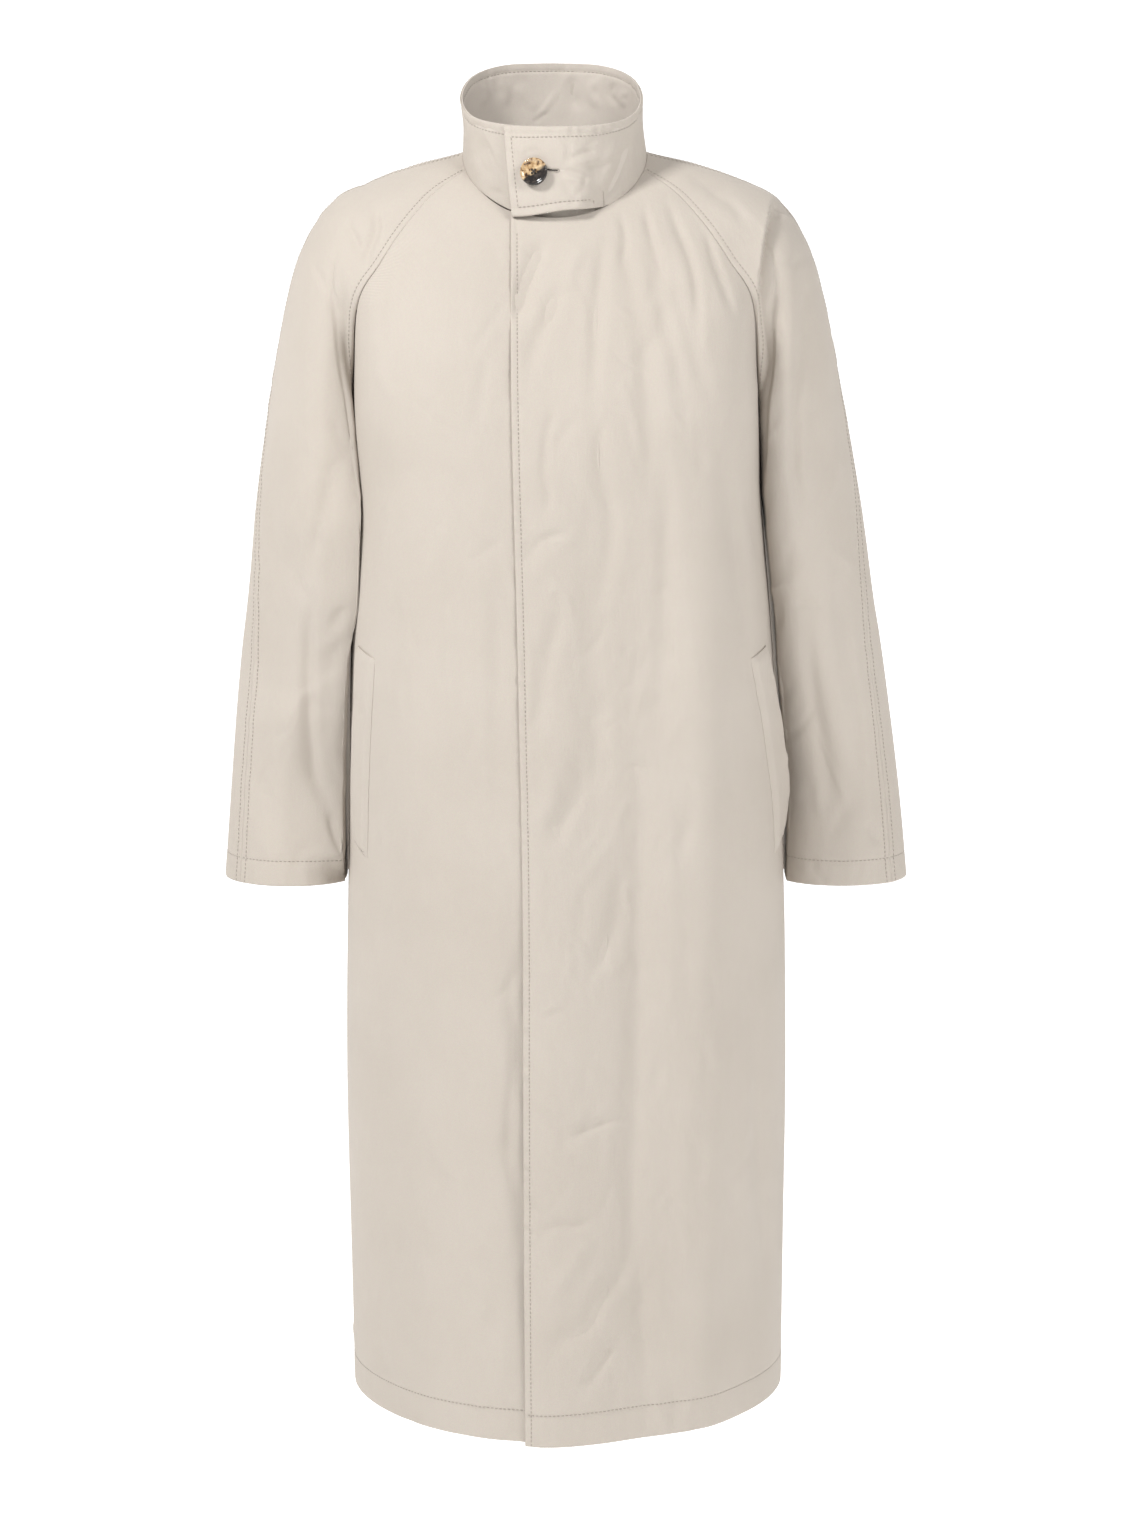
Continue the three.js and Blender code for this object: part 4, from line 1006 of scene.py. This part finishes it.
def collar_panel(name, depth, is_outer):
    rows = np.concatenate([[1, 0.992, 0.98, 0.962], np.linspace(0.94, 0.06, 41), [0.038, 0.02, 0.008, 0]])
    columns = [0, 0.0012, 0.0028, 0.005], np.linspace(0.008, 0.992, 291), [0.995, 0.9972, 0.9988, 1]
    columns = np.concatenate(columns)
    height = np.broadcast_to(rows[:, None], (len(rows), len(columns))).copy()
    end = lerp(COLLAR_TO["low"], COLLAR_TO["high"], height)
    turn = end + (COLLAR_FROM - end) * columns[None, :]
    base = collar_point(turn, height)
    below, s = run_along(base, 0), run_along(base, 1)
    above = below[-1] - below
    offset = crease_offset(turn * COLLAR_MM_PER_DEGREE, above, collar_creases)
    px, py = to_photo(base)
    facing = np.cos(np.radians(turn))
    if is_outer:
        offset = offset + crease_offset(px, py, collar_front_creases) * smooth(-0.1, 0.2, facing)
        fade = smooth(0, 9, below) * smooth(0, 9, s) * smooth(0, 9, above)
        offset = offset * (0.35 + 0.65 * fade)
        offset -= rounding(below) + rounding(s) + rounding(above) * (1 - smooth(TAB_DROP_FROM, TAB_FROM, turn))
        on_tab_edge = 1 - smooth(TAB_SEWN_TO - 2, TAB_SEWN_TO + 2, turn)
        for distance, along, seed, depth_mm, share in (
            (below, s, 41, 0.7, 1), (s, below, 43, 0.6, 1), (above, s, 45, 0.6, on_tab_edge),
        ):
            offset -= stitch_groove(distance, COLLAR_STITCH_IN, 0.8) * share
            offset += puckers(np.abs(distance - 4), along, seed, 8, 5, depth_mm) * share
        pull = (px - BUTTONHOLE_PULL["x"]) ** 2 + (py - BUTTONHOLE_PULL["y"]) ** 2
        offset -= BUTTONHOLE_PULL["depth"] * np.exp(-pull / BUTTONHOLE_PULL["reach"] ** 2) * (facing > 0)
    else:
        offset = offset * 0.6 * smooth(0, 12, below)
        seen = smooth(0.1, -0.2, facing) * smooth(4, 12, below)
        offset += crease_offset(px, py, collar_inside_creases) * seen
        offset += stitch_groove(below, COLLAR_STITCH_IN, 0.7)
        offset += puckers(np.abs(below - 7), s, 47, 9, 7, 0.8)
    at_foot = np.exp(-(above / 5) ** 2)
    sunk = 1 - smooth(UNDER_END_FADE[0], UNDER_END_FADE[1], -turn)
    offset = offset + 1.6 * sunk * (turn < -20) * at_foot
    points = base + collar_normal(turn, height) * (offset - depth)[..., None]
    points[..., 2] -= 1.4 * (1 - smooth(-TAB_FROM - 8, -TAB_FROM, -turn)) * at_foot
    panel = SimpleNamespace(world=points, turn=turn, below=below, above=above, over_end=s)
    wall = np.full(below.shape, COLLAR_PLY)
    uv = np.stack([s, -below], -1)
    if not is_outer:
        # the side that shows is the inner one, so that is the finer
        points = (points - grid_normals(points) * COLLAR_PLY)[:, ::-1]
        uv = uv[:, ::-1]
    panel.obj = shell_mesh(name, points, wall, uv)
    return panel


# Pocket welts

def level_of(z):
    low, high = np.full_like(z, float(UNDERARM)), np.full_like(z, float(BODY_END))
    for _ in range(30):
        middle = (low + high) / 2
        over = column(body_levels, middle)[..., SZ] > z
        low, high = np.where(over, middle, low), np.where(over, high, middle)
    return low


def welt_panel(name, side, creases):
    rows = np.concatenate([[0, 0.004, 0.01], np.linspace(0.018, 0.982, 95), [0.99, 0.996, 1]])
    k = np.concatenate([[0, 0.02, 0.05, 0.09], np.linspace(0.14, 0.86, 17), [0.91, 0.95, 0.98, 1]])
    get = column(welt_levels, rows * (len(welt_levels) - 1))
    seam_x, gape = (get[:, 1:2], get[:, 2:3]) if side > 0 else (get[:, 3:4], get[:, 4:5])
    level = level_of(get[:, :1] + lerp(WELT["topSlant"], WELT["lowSlant"], rows)[:, None] * k[None, :])
    start = front_place(seam_x, level)
    round_mm = np.linalg.norm(front_point(start, level) - front_point(np.ones_like(level), level), axis=-1)
    a = lerp(start, 1, WELT["width"] * k / round_mm)
    base = front_point(a, level)
    px, py = to_photo(leaned(base * np.array([side, 1, 1]), 1))
    fold = fold_offset("front", base[..., 0] * side, base[..., 2])
    fold = fold + CREASE_GAIN * crease_offset(px, py, creases)
    across = k[None, :] * WELT["width"]
    sewn = smooth(-1, 9, across)
    gape = np.maximum(gape, 0) * k[None, :] ** 1.4 * sewn
    below = run_along(base[:, :1], 0)
    above = below[-1] - below
    rise = sewn * (0.25 + 0.75 * (smooth(-2, 8, below) * smooth(-2, 8, above)))
    offset = fold + (WELT["standOff"] + WELT["wall"] - 0.2) * rise + 0.25 + gape
    offset = offset - rounding(WELT["width"] - across) - rounding(below) - rounding(above)
    for distance in (below, above):
        offset = offset - stitch_groove(distance, 3, 0.35) - stitch_groove(distance, 7, 0.35)
    offset = offset + puckers(np.abs(across - WELT["width"]), below + 0 * across, 51 + side, 18, 14, 0.6)
    points = base + normal_of(front_point, a, level, (-1, 1), BODY_END) * offset[..., None]
    points[..., 0] *= side
    points = leaned(points, 1)
    wall = 0.5 + (WELT["wall"] - 1.0) * rise + 0 * offset
    uv = np.stack([np.broadcast_to(across, offset.shape), np.broadcast_to(-below, offset.shape)], -1)
    if side < 0:
        points, wall, uv = points[:, ::-1], wall[:, ::-1], uv[:, ::-1]
    return SimpleNamespace(world=points, obj=shell_mesh(name, points, wall, uv))


# Threads

def ring_quads(i):
    """Faces between neighbouring rings of points, whose numbers' last axis goes round."""
    j = np.roll(i, -1, axis=-1)
    return np.stack([i[..., :-1, :], j[..., :-1, :], j[..., 1:, :], i[..., 1:, :]], -1).reshape(-1, 4)


def stitch_mesh(name, lines):
    """Short raised threads along sewn lines, which are pairs of points and outward normals."""
    verts, quads, count = [], [], 0
    turns = np.linspace(0, 2 * math.pi, STITCH["sides"], endpoint=False)[:, None]
    for points, normals in lines:
        s = run_along(points, 0)
        number = int(s[-1] / STITCH["pitch"])
        centres = (np.arange(number) + 0.5) * s[-1] / number

        def at(values, where):
            return np.stack([np.interp(where, s, values[:, k]) for k in range(3)], -1)

        rings = []
        for share, lift, size in STITCH_RINGS:
            where = centres + share * STITCH["length"]
            normal = unit(at(normals, where))
            ahead = unit(at(points, where + 0.4) - at(points, where - 0.4))
            across = unit(np.cross(normal, ahead))[:, None]
            ring = across * np.cos(turns) + normal[:, None] * np.sin(turns)
            rings.append((at(points, where) + normal * lift)[:, None] + STITCH["radius"] * size * ring)
        verts.append(np.stack(rings, 1).reshape(-1, 3))
        i = count + np.arange(len(verts[-1])).reshape(number, len(STITCH_RINGS), -1)
        quads.append(ring_quads(i))
        count += i.size
    return make_object(name, np.concatenate(verts) * MM, quads)


def tube_mesh(name, paths, radius, sides, place=lambda points: points):
    """Closed round threads. A path is its points and two directions square to its run."""
    turns = np.arange(sides)[:, None] * 2 * math.pi / sides
    verts, quads, caps, count = [], [], [], 0
    for points, across, out in paths:
        ring = across[:, None] * np.cos(turns) + out[:, None] * np.sin(turns)
        i = count + np.arange(len(points) * sides).reshape(-1, sides)
        verts.append((points[:, None] + radius * ring).reshape(-1, 3))
        quads.append(ring_quads(i))
        caps += [i[0, ::-1], i[-1]]
        count += i.size
    return make_object(name, place(np.concatenate(verts)) * MM, quads + [np.array(caps)])


def laid_threads(name, lines, radius):
    """Round threads laid on the cloth along points with their outward normals."""
    paths = []
    for points, normals in lines:
        across = unit(np.cross(normals, unit(np.gradient(points, axis=0))))
        paths.append((points + normals * radius * 0.55, across, normals))
    return tube_mesh(name, paths, radius, 6)


def line_on(world, where):
    """Points along a row or column of a grid, with their outward normals."""
    return world[where], grid_normals(world)[where]


# Materials

class Look:
    """A material and short ways to add nodes to it. Inputs are given as values or as the sockets that feed them."""

    def __init__(self, name, inputs):
        self.material = bpy.data.materials.new(name)
        self.material.use_nodes = True
        self.tree = self.material.node_tree
        self.shader = self.tree.nodes["Principled BSDF"]
        self.feed(self.shader, inputs)
        where = self.tree.nodes.new("ShaderNodeTexCoord").outputs
        self.place, self.cloth = where["Object"], where["UV"]

    def feed(self, node, inputs):
        for name, value in inputs.items():
            if isinstance(value, bpy.types.NodeSocket):
                self.tree.links.new(value, node.inputs[name])
            else:
                node.inputs[name].default_value = value

    def add(self, kind, inputs, output, **settings):
        node = self.tree.nodes.new("ShaderNode" + kind)
        for name, value in settings.items():
            setattr(node, name, value)
        self.feed(node, inputs)
        return node.outputs[output]

    def noise(self, vector, scale, output="Fac", **others):
        others = {name.capitalize(): value for name, value in others.items()}
        return self.add("TexNoise", {"Vector": vector, "Scale": scale, **others}, output)

    def bump(self, height, distance, **others):
        others = {name.capitalize(): value for name, value in others.items()}
        return self.add("Bump", {"Height": height, "Distance": distance, **others}, "Normal")

    def mix(self, kind, factor, a, b):
        inputs = {"Factor": factor, "A": a, "B": b}
        return self.add("Mix", inputs, "Result", data_type="RGBA", blend_type=kind)

    def ramp(self, source, *stops):
        node = self.tree.nodes.new("ShaderNodeValToRGB")
        elements = node.color_ramp.elements
        for k, (position, colour) in enumerate(stops):
            element = elements[k] if k < 2 else elements.new(position)
            element.position = position
            element.color = (*colour, 1)
        self.feed(node, {"Fac": source})
        return node.outputs["Color"]

    def done(self, **inputs):
        self.feed(self.shader, {name.replace("_", " "): value for name, value in inputs.items()})
        return self.material


def cotton_material(name, base, patch):
    """Twill with fine diagonal ribs, two threads to a millimetre, and small creases from wear."""
    look = Look(name, {
        "Roughness": 0.86, "Specular IOR Level": 0.28, "Sheen Weight": 0.05, "Sheen Roughness": 0.45,
    })
    tone = look.ramp(look.noise(look.place, 7.0, detail=5.0, roughness=0.6), (0.32, patch), (0.7, base))
    turned = look.add("Mapping", {"Vector": look.cloth, "Rotation": (0, 0, math.radians(58))}, "Vector")
    ribs = look.add("TexWave", {
        "Vector": turned, "Scale": 470.0, "Distortion": 1.2, "Detail": 2.0, "Detail Scale": 3.0,
    }, "Color")
    slub = look.noise(look.cloth, 900.0, "Color", detail=3.0)
    colour = look.mix("OVERLAY", 0.1, look.mix("MULTIPLY", 0.16, tone, ribs), slub)
    stretched = look.add("Mapping", {"Vector": look.place, "Scale": (1.0, 1.0, 0.35)}, "Vector")
    crumple = look.noise(stretched, 24.0, detail=6.0, roughness=0.55)
    drag = look.noise(stretched, 70.0, detail=3.0)
    normal = look.bump(ribs.node.outputs["Fac"], 0.0002, strength=0.25)
    normal = look.bump(drag, 0.0008, strength=0.35, normal=normal)
    normal = look.bump(crumple, 0.003, strength=0.6, normal=normal)
    return look.done(Base_Color=colour, Normal=normal)


def thread_material(name, colour):
    look = Look(name, {"Roughness": 0.7, "Sheen Weight": 0.2})
    ply = look.noise(look.place, 1400.0)
    tone = look.ramp(ply, (0, tuple(0.82 * c for c in colour)), (1, colour))
    return look.done(Base_Color=tone, Normal=look.bump(ply, 0.0001))


def tortoiseshell_material(name, centre):
    """Honey above and near black below, the split tilted towards the key light: painted light and shade. The dark
    flecks are the shell's own mottling; glossy.
    """
    look = Look(name, {"Roughness": 0.16, "Coat Weight": 0.6, "Coat Roughness": 0.05})
    shift = look.add("Mapping", {"Vector": look.place, "Location": tuple(-c for c in centre)}, "Vector")
    tilt = look.add("Mapping", {"Vector": shift, "Rotation": (0, math.radians(28), 0)}, "Vector")
    # The split by height is painted light and shade: lit honey above, shaded near black below.
    up = look.add("SeparateXYZ", {"Vector": tilt}, "Z")
    cloud = look.noise(look.place, 120.0, detail=3.0)
    edge = look.add("Math", {0: cloud, 1: 0.011, 2: up}, "Value", operation="MULTIPLY_ADD")
    painted_light_share = look.add("MapRange", {"Value": edge, "From Min": 0.0045, "From Max": 0.007}, "Result")
    spots = look.noise(look.place, 260.0, detail=2.0)
    amber = look.ramp(spots, (0.36, (0.05, 0.022, 0.01)), (0.46, (0.40, 0.25, 0.12)), (0.66, (0.60, 0.45, 0.27)))
    dark = look.ramp(spots, (0.45, (0.012, 0.009, 0.008)), (0.85, (0.07, 0.055, 0.045)))
    return look.done(Base_Color=look.mix("MIX", painted_light_share, dark, amber), Normal=look.bump(cloud, 0.00006))


def sweep_material(name, colour, roughness, glow):
    """A pale even surface that glows a little: painted light, standing in for the studio lamps that light a sweep."""
    white = (1, 1, 1, 1)
    look = Look(name, {"Roughness": roughness, "Emission Color": white, "Emission Strength": glow})
    tone = look.ramp(look.noise(look.place, 0.8), (0, tuple(0.99 * c for c in colour)), (1, colour))
    return look.done(Base_Color=tone)


# The coat

outer_cotton = cotton_material("cotton_twill", (0.535, 0.482, 0.424), (0.505, 0.452, 0.394))
inner_cotton = cotton_material("cotton_facing", (0.60, 0.545, 0.485), (0.53, 0.475, 0.42))
# Darker than the cloth: the thread's own colour plus painted shade of the needle holes and grooves along the
# stitches.
thread_and_stitch_shade = thread_material("sewing_thread_and_stitch_shade", (0.34, 0.30, 0.255))
tack_thread = thread_material("tack_thread", (0.44, 0.39, 0.335))
# Near black: the button's own thread, and painted shade in the buttonhole's slit.
dark_thread_and_slit_shade = thread_material("button_thread_and_slit_shade", (0.03, 0.022, 0.018))


def dress(piece, material, node=None):
    piece.data.materials.append(material)
    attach(piece, "root")
    if node:
        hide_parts(node)


# Each cloth panel, named for the node that it stands for
panels = {
    "front_left": front_panel("front_left_cloth", 1, front_left_creases),
    "front_right": front_panel("front_right_cloth", -1, front_right_creases),
    "back": back_panel("back_cloth"),
    "sleeve_left_front": sleeve_panel("sleeve_left_front_cloth", 1, True, sleeve_left_creases),
    "sleeve_left_back": sleeve_panel("sleeve_left_back_cloth", 1, False, back_left_creases),
    "sleeve_right_front": sleeve_panel("sleeve_right_front_cloth", -1, True, sleeve_right_creases),
    "sleeve_right_back": sleeve_panel("sleeve_right_back_cloth", -1, False, back_right_creases),
    "collar_outer": collar_panel("collar_outer_cloth", 0.0, True),
    "collar_inner": collar_panel("collar_inner_cloth", COLLAR_PLY + PLY_GAP, False),
    "welt_left": welt_panel("welt_left_cloth", 1, front_left_creases),
    "welt_right": welt_panel("welt_right_cloth", -1, front_right_creases),
}
# Each panel gets its cotton, and the solid of its node is hidden
for node, panel in panels.items():
    dress(panel.obj, inner_cotton if node == "collar_inner" else outer_cotton, node)


# Sewn lines

def nearest_step(distances, at):
    return int(np.argmin(np.abs(distances - at)))


def collar_lines(panel):
    """Stitch lines at a set distance inside the collar's edges."""
    m = panel.world.shape[0]
    top = nearest_step(panel.below[:, 100], COLLAR_STITCH_IN)
    low = nearest_step(panel.above[:, 20], COLLAR_STITCH_IN)
    end = nearest_step(panel.over_end[m // 2], COLLAR_STITCH_IN)
    tab = nearest_step(panel.turn[-1], TAB_SEWN_TO)
    runs = np.s_[top, end:-8], np.s_[top:low + 1, end], np.s_[low, end:tab], np.s_[low:m - 3, tab]
    return [line_on(panel.world, run) for run in runs]


left, right, back = panels["front_left"], panels["front_right"], panels["back"]
fly = nearest_step(left.near[len(left.near) // 2], STITCH_IN)
lines = {
    "front_left": [line_on(left.world, np.s_[12:, fly]), line_on(left.world, np.s_[left.hem_row, 3:-2])],
    "front_right": [line_on(right.world, np.s_[right.hem_row, 2:-3])],
    "back": [line_on(back.world, np.s_[back.hem_row, 2:-2])],
}
for key, panel in panels.items():
    if not key.startswith("sleeve"):
        continue
    seam, over = STITCH_COLUMN, -1 - STITCH_COLUMN
    if key in ("sleeve_left_back", "sleeve_right_front"):
        seam, over = over, seam
    stop = nearest_step(panel.v, RAGLAN_SEWN_TO)
    runs = np.s_[3:stop, seam], np.s_[3:, over], np.s_[panel.hem_row, 2:-2]
    lines[key] = [line_on(panel.world, run) for run in runs]
collar = panels["collar_outer"]
lines["collar_outer"] = collar_lines(collar)


def seen_line(panel, pixels, count):
    """A line on a piece where the photograph shows one: points and outward normals. Of the collar only the tab."""
    px, py = to_photo(panel.world)
    hidden = panel.turn > TAB_FROM if panel is collar else np.zeros(px.shape, bool)
    points, normals = panel.world.reshape(-1, 3), grid_normals(panel.world).reshape(-1, 3)
    found = []
    for x, y in smooth_line(pixels, max(2, count // (len(pixels) - 1))):
        gap = (px - x) ** 2 + (py - y) ** 2 + 1e6 * hidden
        flat = np.argsort(gap, axis=None)[:6]
        weight = 1 / (gap.ravel()[flat] + 0.05)
        weight = weight[:, None] / weight.sum()
        found.append([(points[flat] * weight).sum(0), (normals[flat] * weight).sum(0)])
    found = np.array(found)
    return found[:, 0], unit(found[:, 1])


def bar_tack(panel, start, end):
    """A short close zigzag between two pixels."""
    start, end = np.array(start, float), np.array(end, float)
    across = unit(np.array([start[1] - end[1], end[0] - start[0]])) * TACK["spread"]
    shares = np.linspace(0, 1, 2 * TACK["turns"] + 1)
    zigzag = [start * (1 - s) + end * s + across * (1 if k % 2 else -1) for k, s in enumerate(shares)]
    return seen_line(panel, zigzag, 4 * TACK["turns"])


# Where the tab starts to hang free, and at the low end of the right pocket's welt
tacks = {
    "collar_outer": [((604, 191), (604, 207))],
    "welt_right": [((351, 847), (362, 857)), ((352, 842), (363, 852))],
}
for key, ends in tacks.items():
    threads = [bar_tack(panels[key], a, b) for a, b in ends]
    dress(laid_threads(key + "_bar_tacks", threads, 0.3), tack_thread)

# The buttonhole's worked edge, and the slit in it drawn as a near-black thread: painted shade of the cut
hole = [(544, 168.2), (551, 168.4), (556.5, 168.6), (559, 170.2), (556.5, 171.8), (551, 171.6), (544, 171.4)]
dress(laid_threads("buttonhole_edge", [seen_line(collar, hole, 36)], 0.42), tack_thread)
# The slit's dark tube is painted shade, not thread.
slit = [(544, 169.8), (551, 170), (557.5, 170.2)]
dress(laid_threads("buttonhole_slit_shade", [seen_line(collar, slit, 12)], 0.5), dark_thread_and_slit_shade)

inner = panels["collar_inner"]
inner_row = nearest_step(inner.below[:, 150], COLLAR_STITCH_IN)
points, normals = line_on(inner.world, np.s_[inner_row, 40:-40])
lines["collar_inner"] = [(points - normals * COLLAR_PLY, -normals)]
for key, group in lines.items():
    dress(stitch_mesh(key + "_stitches", group), thread_and_stitch_shade)

# Button, worked out along +Z and turned to stand off the tab
turn = np.array([BUTTON_AT["turn"]], float)
height = np.array([BUTTON_AT["height"]], float)
place = collar_point(turn, height)[0]
across = collar_point(turn + 2, height)[0] - collar_point(turn - 2, height)[0]
down = collar_point(turn, height - 0.05)[0] - collar_point(turn, height + 0.05)[0]
out = unit(np.cross(down, across))
up = unit(np.array([0, 0, 1.0]) - out * out[2])
right = np.cross(up, out)
stand = place + out * (SHANK + 0.4)


def on_tab(points):
    return stand + points[:, :1] * right + points[:, 1:2] * up + points[:, 2:3] * out


def button_mesh(name):
    """A dished round button with a raised rim and four holes, from a close polar grid."""
    radius, thick, rim, dish = (BUTTON[k] for k in ("radius", "thickness", "rim", "dish"))
    profile = [
        (radius - 3, 0), (radius - 1.6, 0.25), (radius - 0.8, 0.9), (radius - 0.2, 1.6), (radius, 2.2),
        (radius - 0.05, 3.0), (radius - 0.3, 3.6), (radius - 0.7, 4.1), (radius - rim / 2, thick),
        (radius - 1.6, thick - 0.1), (radius - rim, thick - 0.4), (radius - 2.9, thick - 0.9),
    ]
    face = radius - 3.6
    rows = profile + [(r, thick - dish - 0.3 * (1 - (r / face) ** 2)) for r in np.linspace(face, 0.25, 44)]
    sides = 96
    turns = np.linspace(0, 2 * math.pi, sides, endpoint=False)
    verts = []
    for r, z in rows:
        x, y = r * np.cos(turns), r * np.sin(turns)
        height = np.full(sides, float(z))
        if r < 6:
            for degrees in (45, 135, 225, 315):
                a = math.radians(degrees)
                gap = np.hypot(x - BUTTON["holeReach"] * math.cos(a), y - BUTTON["holeReach"] * math.sin(a))
                height = height - 2.4 * (1 - smooth(0.78, 1.05, gap))
        verts.append(np.stack([x, y, height], -1))
    verts = np.concatenate(verts + [np.array([[0, 0, 0.0], [0, 0, rows[-1][1]]])])
    i = np.arange(len(rows) * sides).reshape(-1, sides)
    j = np.roll(i, -1, axis=1)
    middle = np.full(sides, i.size)
    fans = [np.stack([middle, j[0], i[0]], -1), np.stack([middle + 1, i[-1], j[-1]], -1)]
    return make_object(name, on_tab(verts) * MM, [ring_quads(i)] + fans)


# The button's honey top and near-black bottom are painted light and shade; its flecks are its own.
tortoiseshell_and_painted_light = tortoiseshell_material("tortoiseshell_and_painted_light", tuple(place * MM))
dress(button_mesh("button_shell"), tortoiseshell_and_painted_light, "collar_button")

# Its thread: two strands each way through the holes
top = BUTTON["thickness"] - BUTTON["dish"] + 0.25
corner = BUTTON["holeReach"] / math.sqrt(2)
threads = []
for sy in (1, -1):
    for shift in (-0.21, 0.21):
        crown = top + 0.12 + 0.2 * (sy > 0)
        half = [(0.75, top), (1, top - 0.5), (1, top - 1.2), (1, -SHANK)]
        steps = [(-share, z) for share, z in half[::-1]] + [(0, crown)] + half
        path = np.array([(share * corner - sy * shift, share * sy * corner + shift, z) for share, z in steps])
        ahead = unit(np.gradient(path, axis=0))
        across = unit(np.cross(ahead, np.array([0.3, 0.5, 0.81])))
        threads.append((path, across, np.cross(ahead, across)))
cross = tube_mesh("button_thread_cross", threads, 0.3, 8, on_tab)
dress(cross, dark_thread_and_slit_shade, "button_thread")

# The floor stands where a wearer's feet would, well under the hem, and sweeps up far behind the coat
bend = [math.radians(a) for a in range(0, 91, 6)]
bend = [(4 + 3 * math.sin(a), FLOOR_Z + 3 * (1 - math.cos(a))) for a in bend]
profile = [(-12, FLOOR_Z)] + bend + [(7, 9)]
i = 2 * np.arange(len(profile) - 1)
floor_points = [(x, y, z) for y, z in profile for x in (-16, 16)]
floor = make_object("studio_floor", floor_points, [np.stack([i, i + 1, i + 3, i + 2], -1)])
# The floor's glow is painted light: its emission stands in for lamps lighting it.
floor.data.materials.append(sweep_material("pale_floor", (0.9, 0.9, 0.9), 0.9, 0.56))

# Light and camera
scene = bpy.context.scene
scene.view_settings.view_transform = "Standard"
scene.world = bpy.data.worlds.new("studio")
scene.world.use_nodes = True
sky = scene.world.node_tree.nodes["Background"].inputs
sky["Color"].default_value = (1, 1, 1, 1)
sky["Strength"].default_value = SKY_STRENGTH

for name, location, size, energy in LIGHTS:
    light = bpy.data.lights.new(name, "AREA")
    light.size = size
    light.energy = energy
    light_object = bpy.data.objects.new(name, light)
    light_object.location = location
    aim = np.array(LIT_POINT) - np.array(location)
    light_object.rotation_euler = Vector(aim).to_track_quat("-Z", "Y").to_euler()
    scene.collection.objects.link(light_object)

camera = bpy.data.cameras.new("camera")
camera_object = bpy.data.objects.new("camera", camera)
scene.collection.objects.link(camera_object)
scene.camera = camera_object
camera_object.location = (CAMERA["x"] * MM, -CAMERA["back"] * MM, CAMERA["z"] * MM)
camera_object.rotation_euler = (math.pi / 2 - CAMERA["pitch"], 0, 0)
camera.sensor_fit = "AUTO"
camera.sensor_width = SENSOR
camera.lens = CAMERA["focal"] * SENSOR / FRAME_PX[1]
camera.clip_end = 200
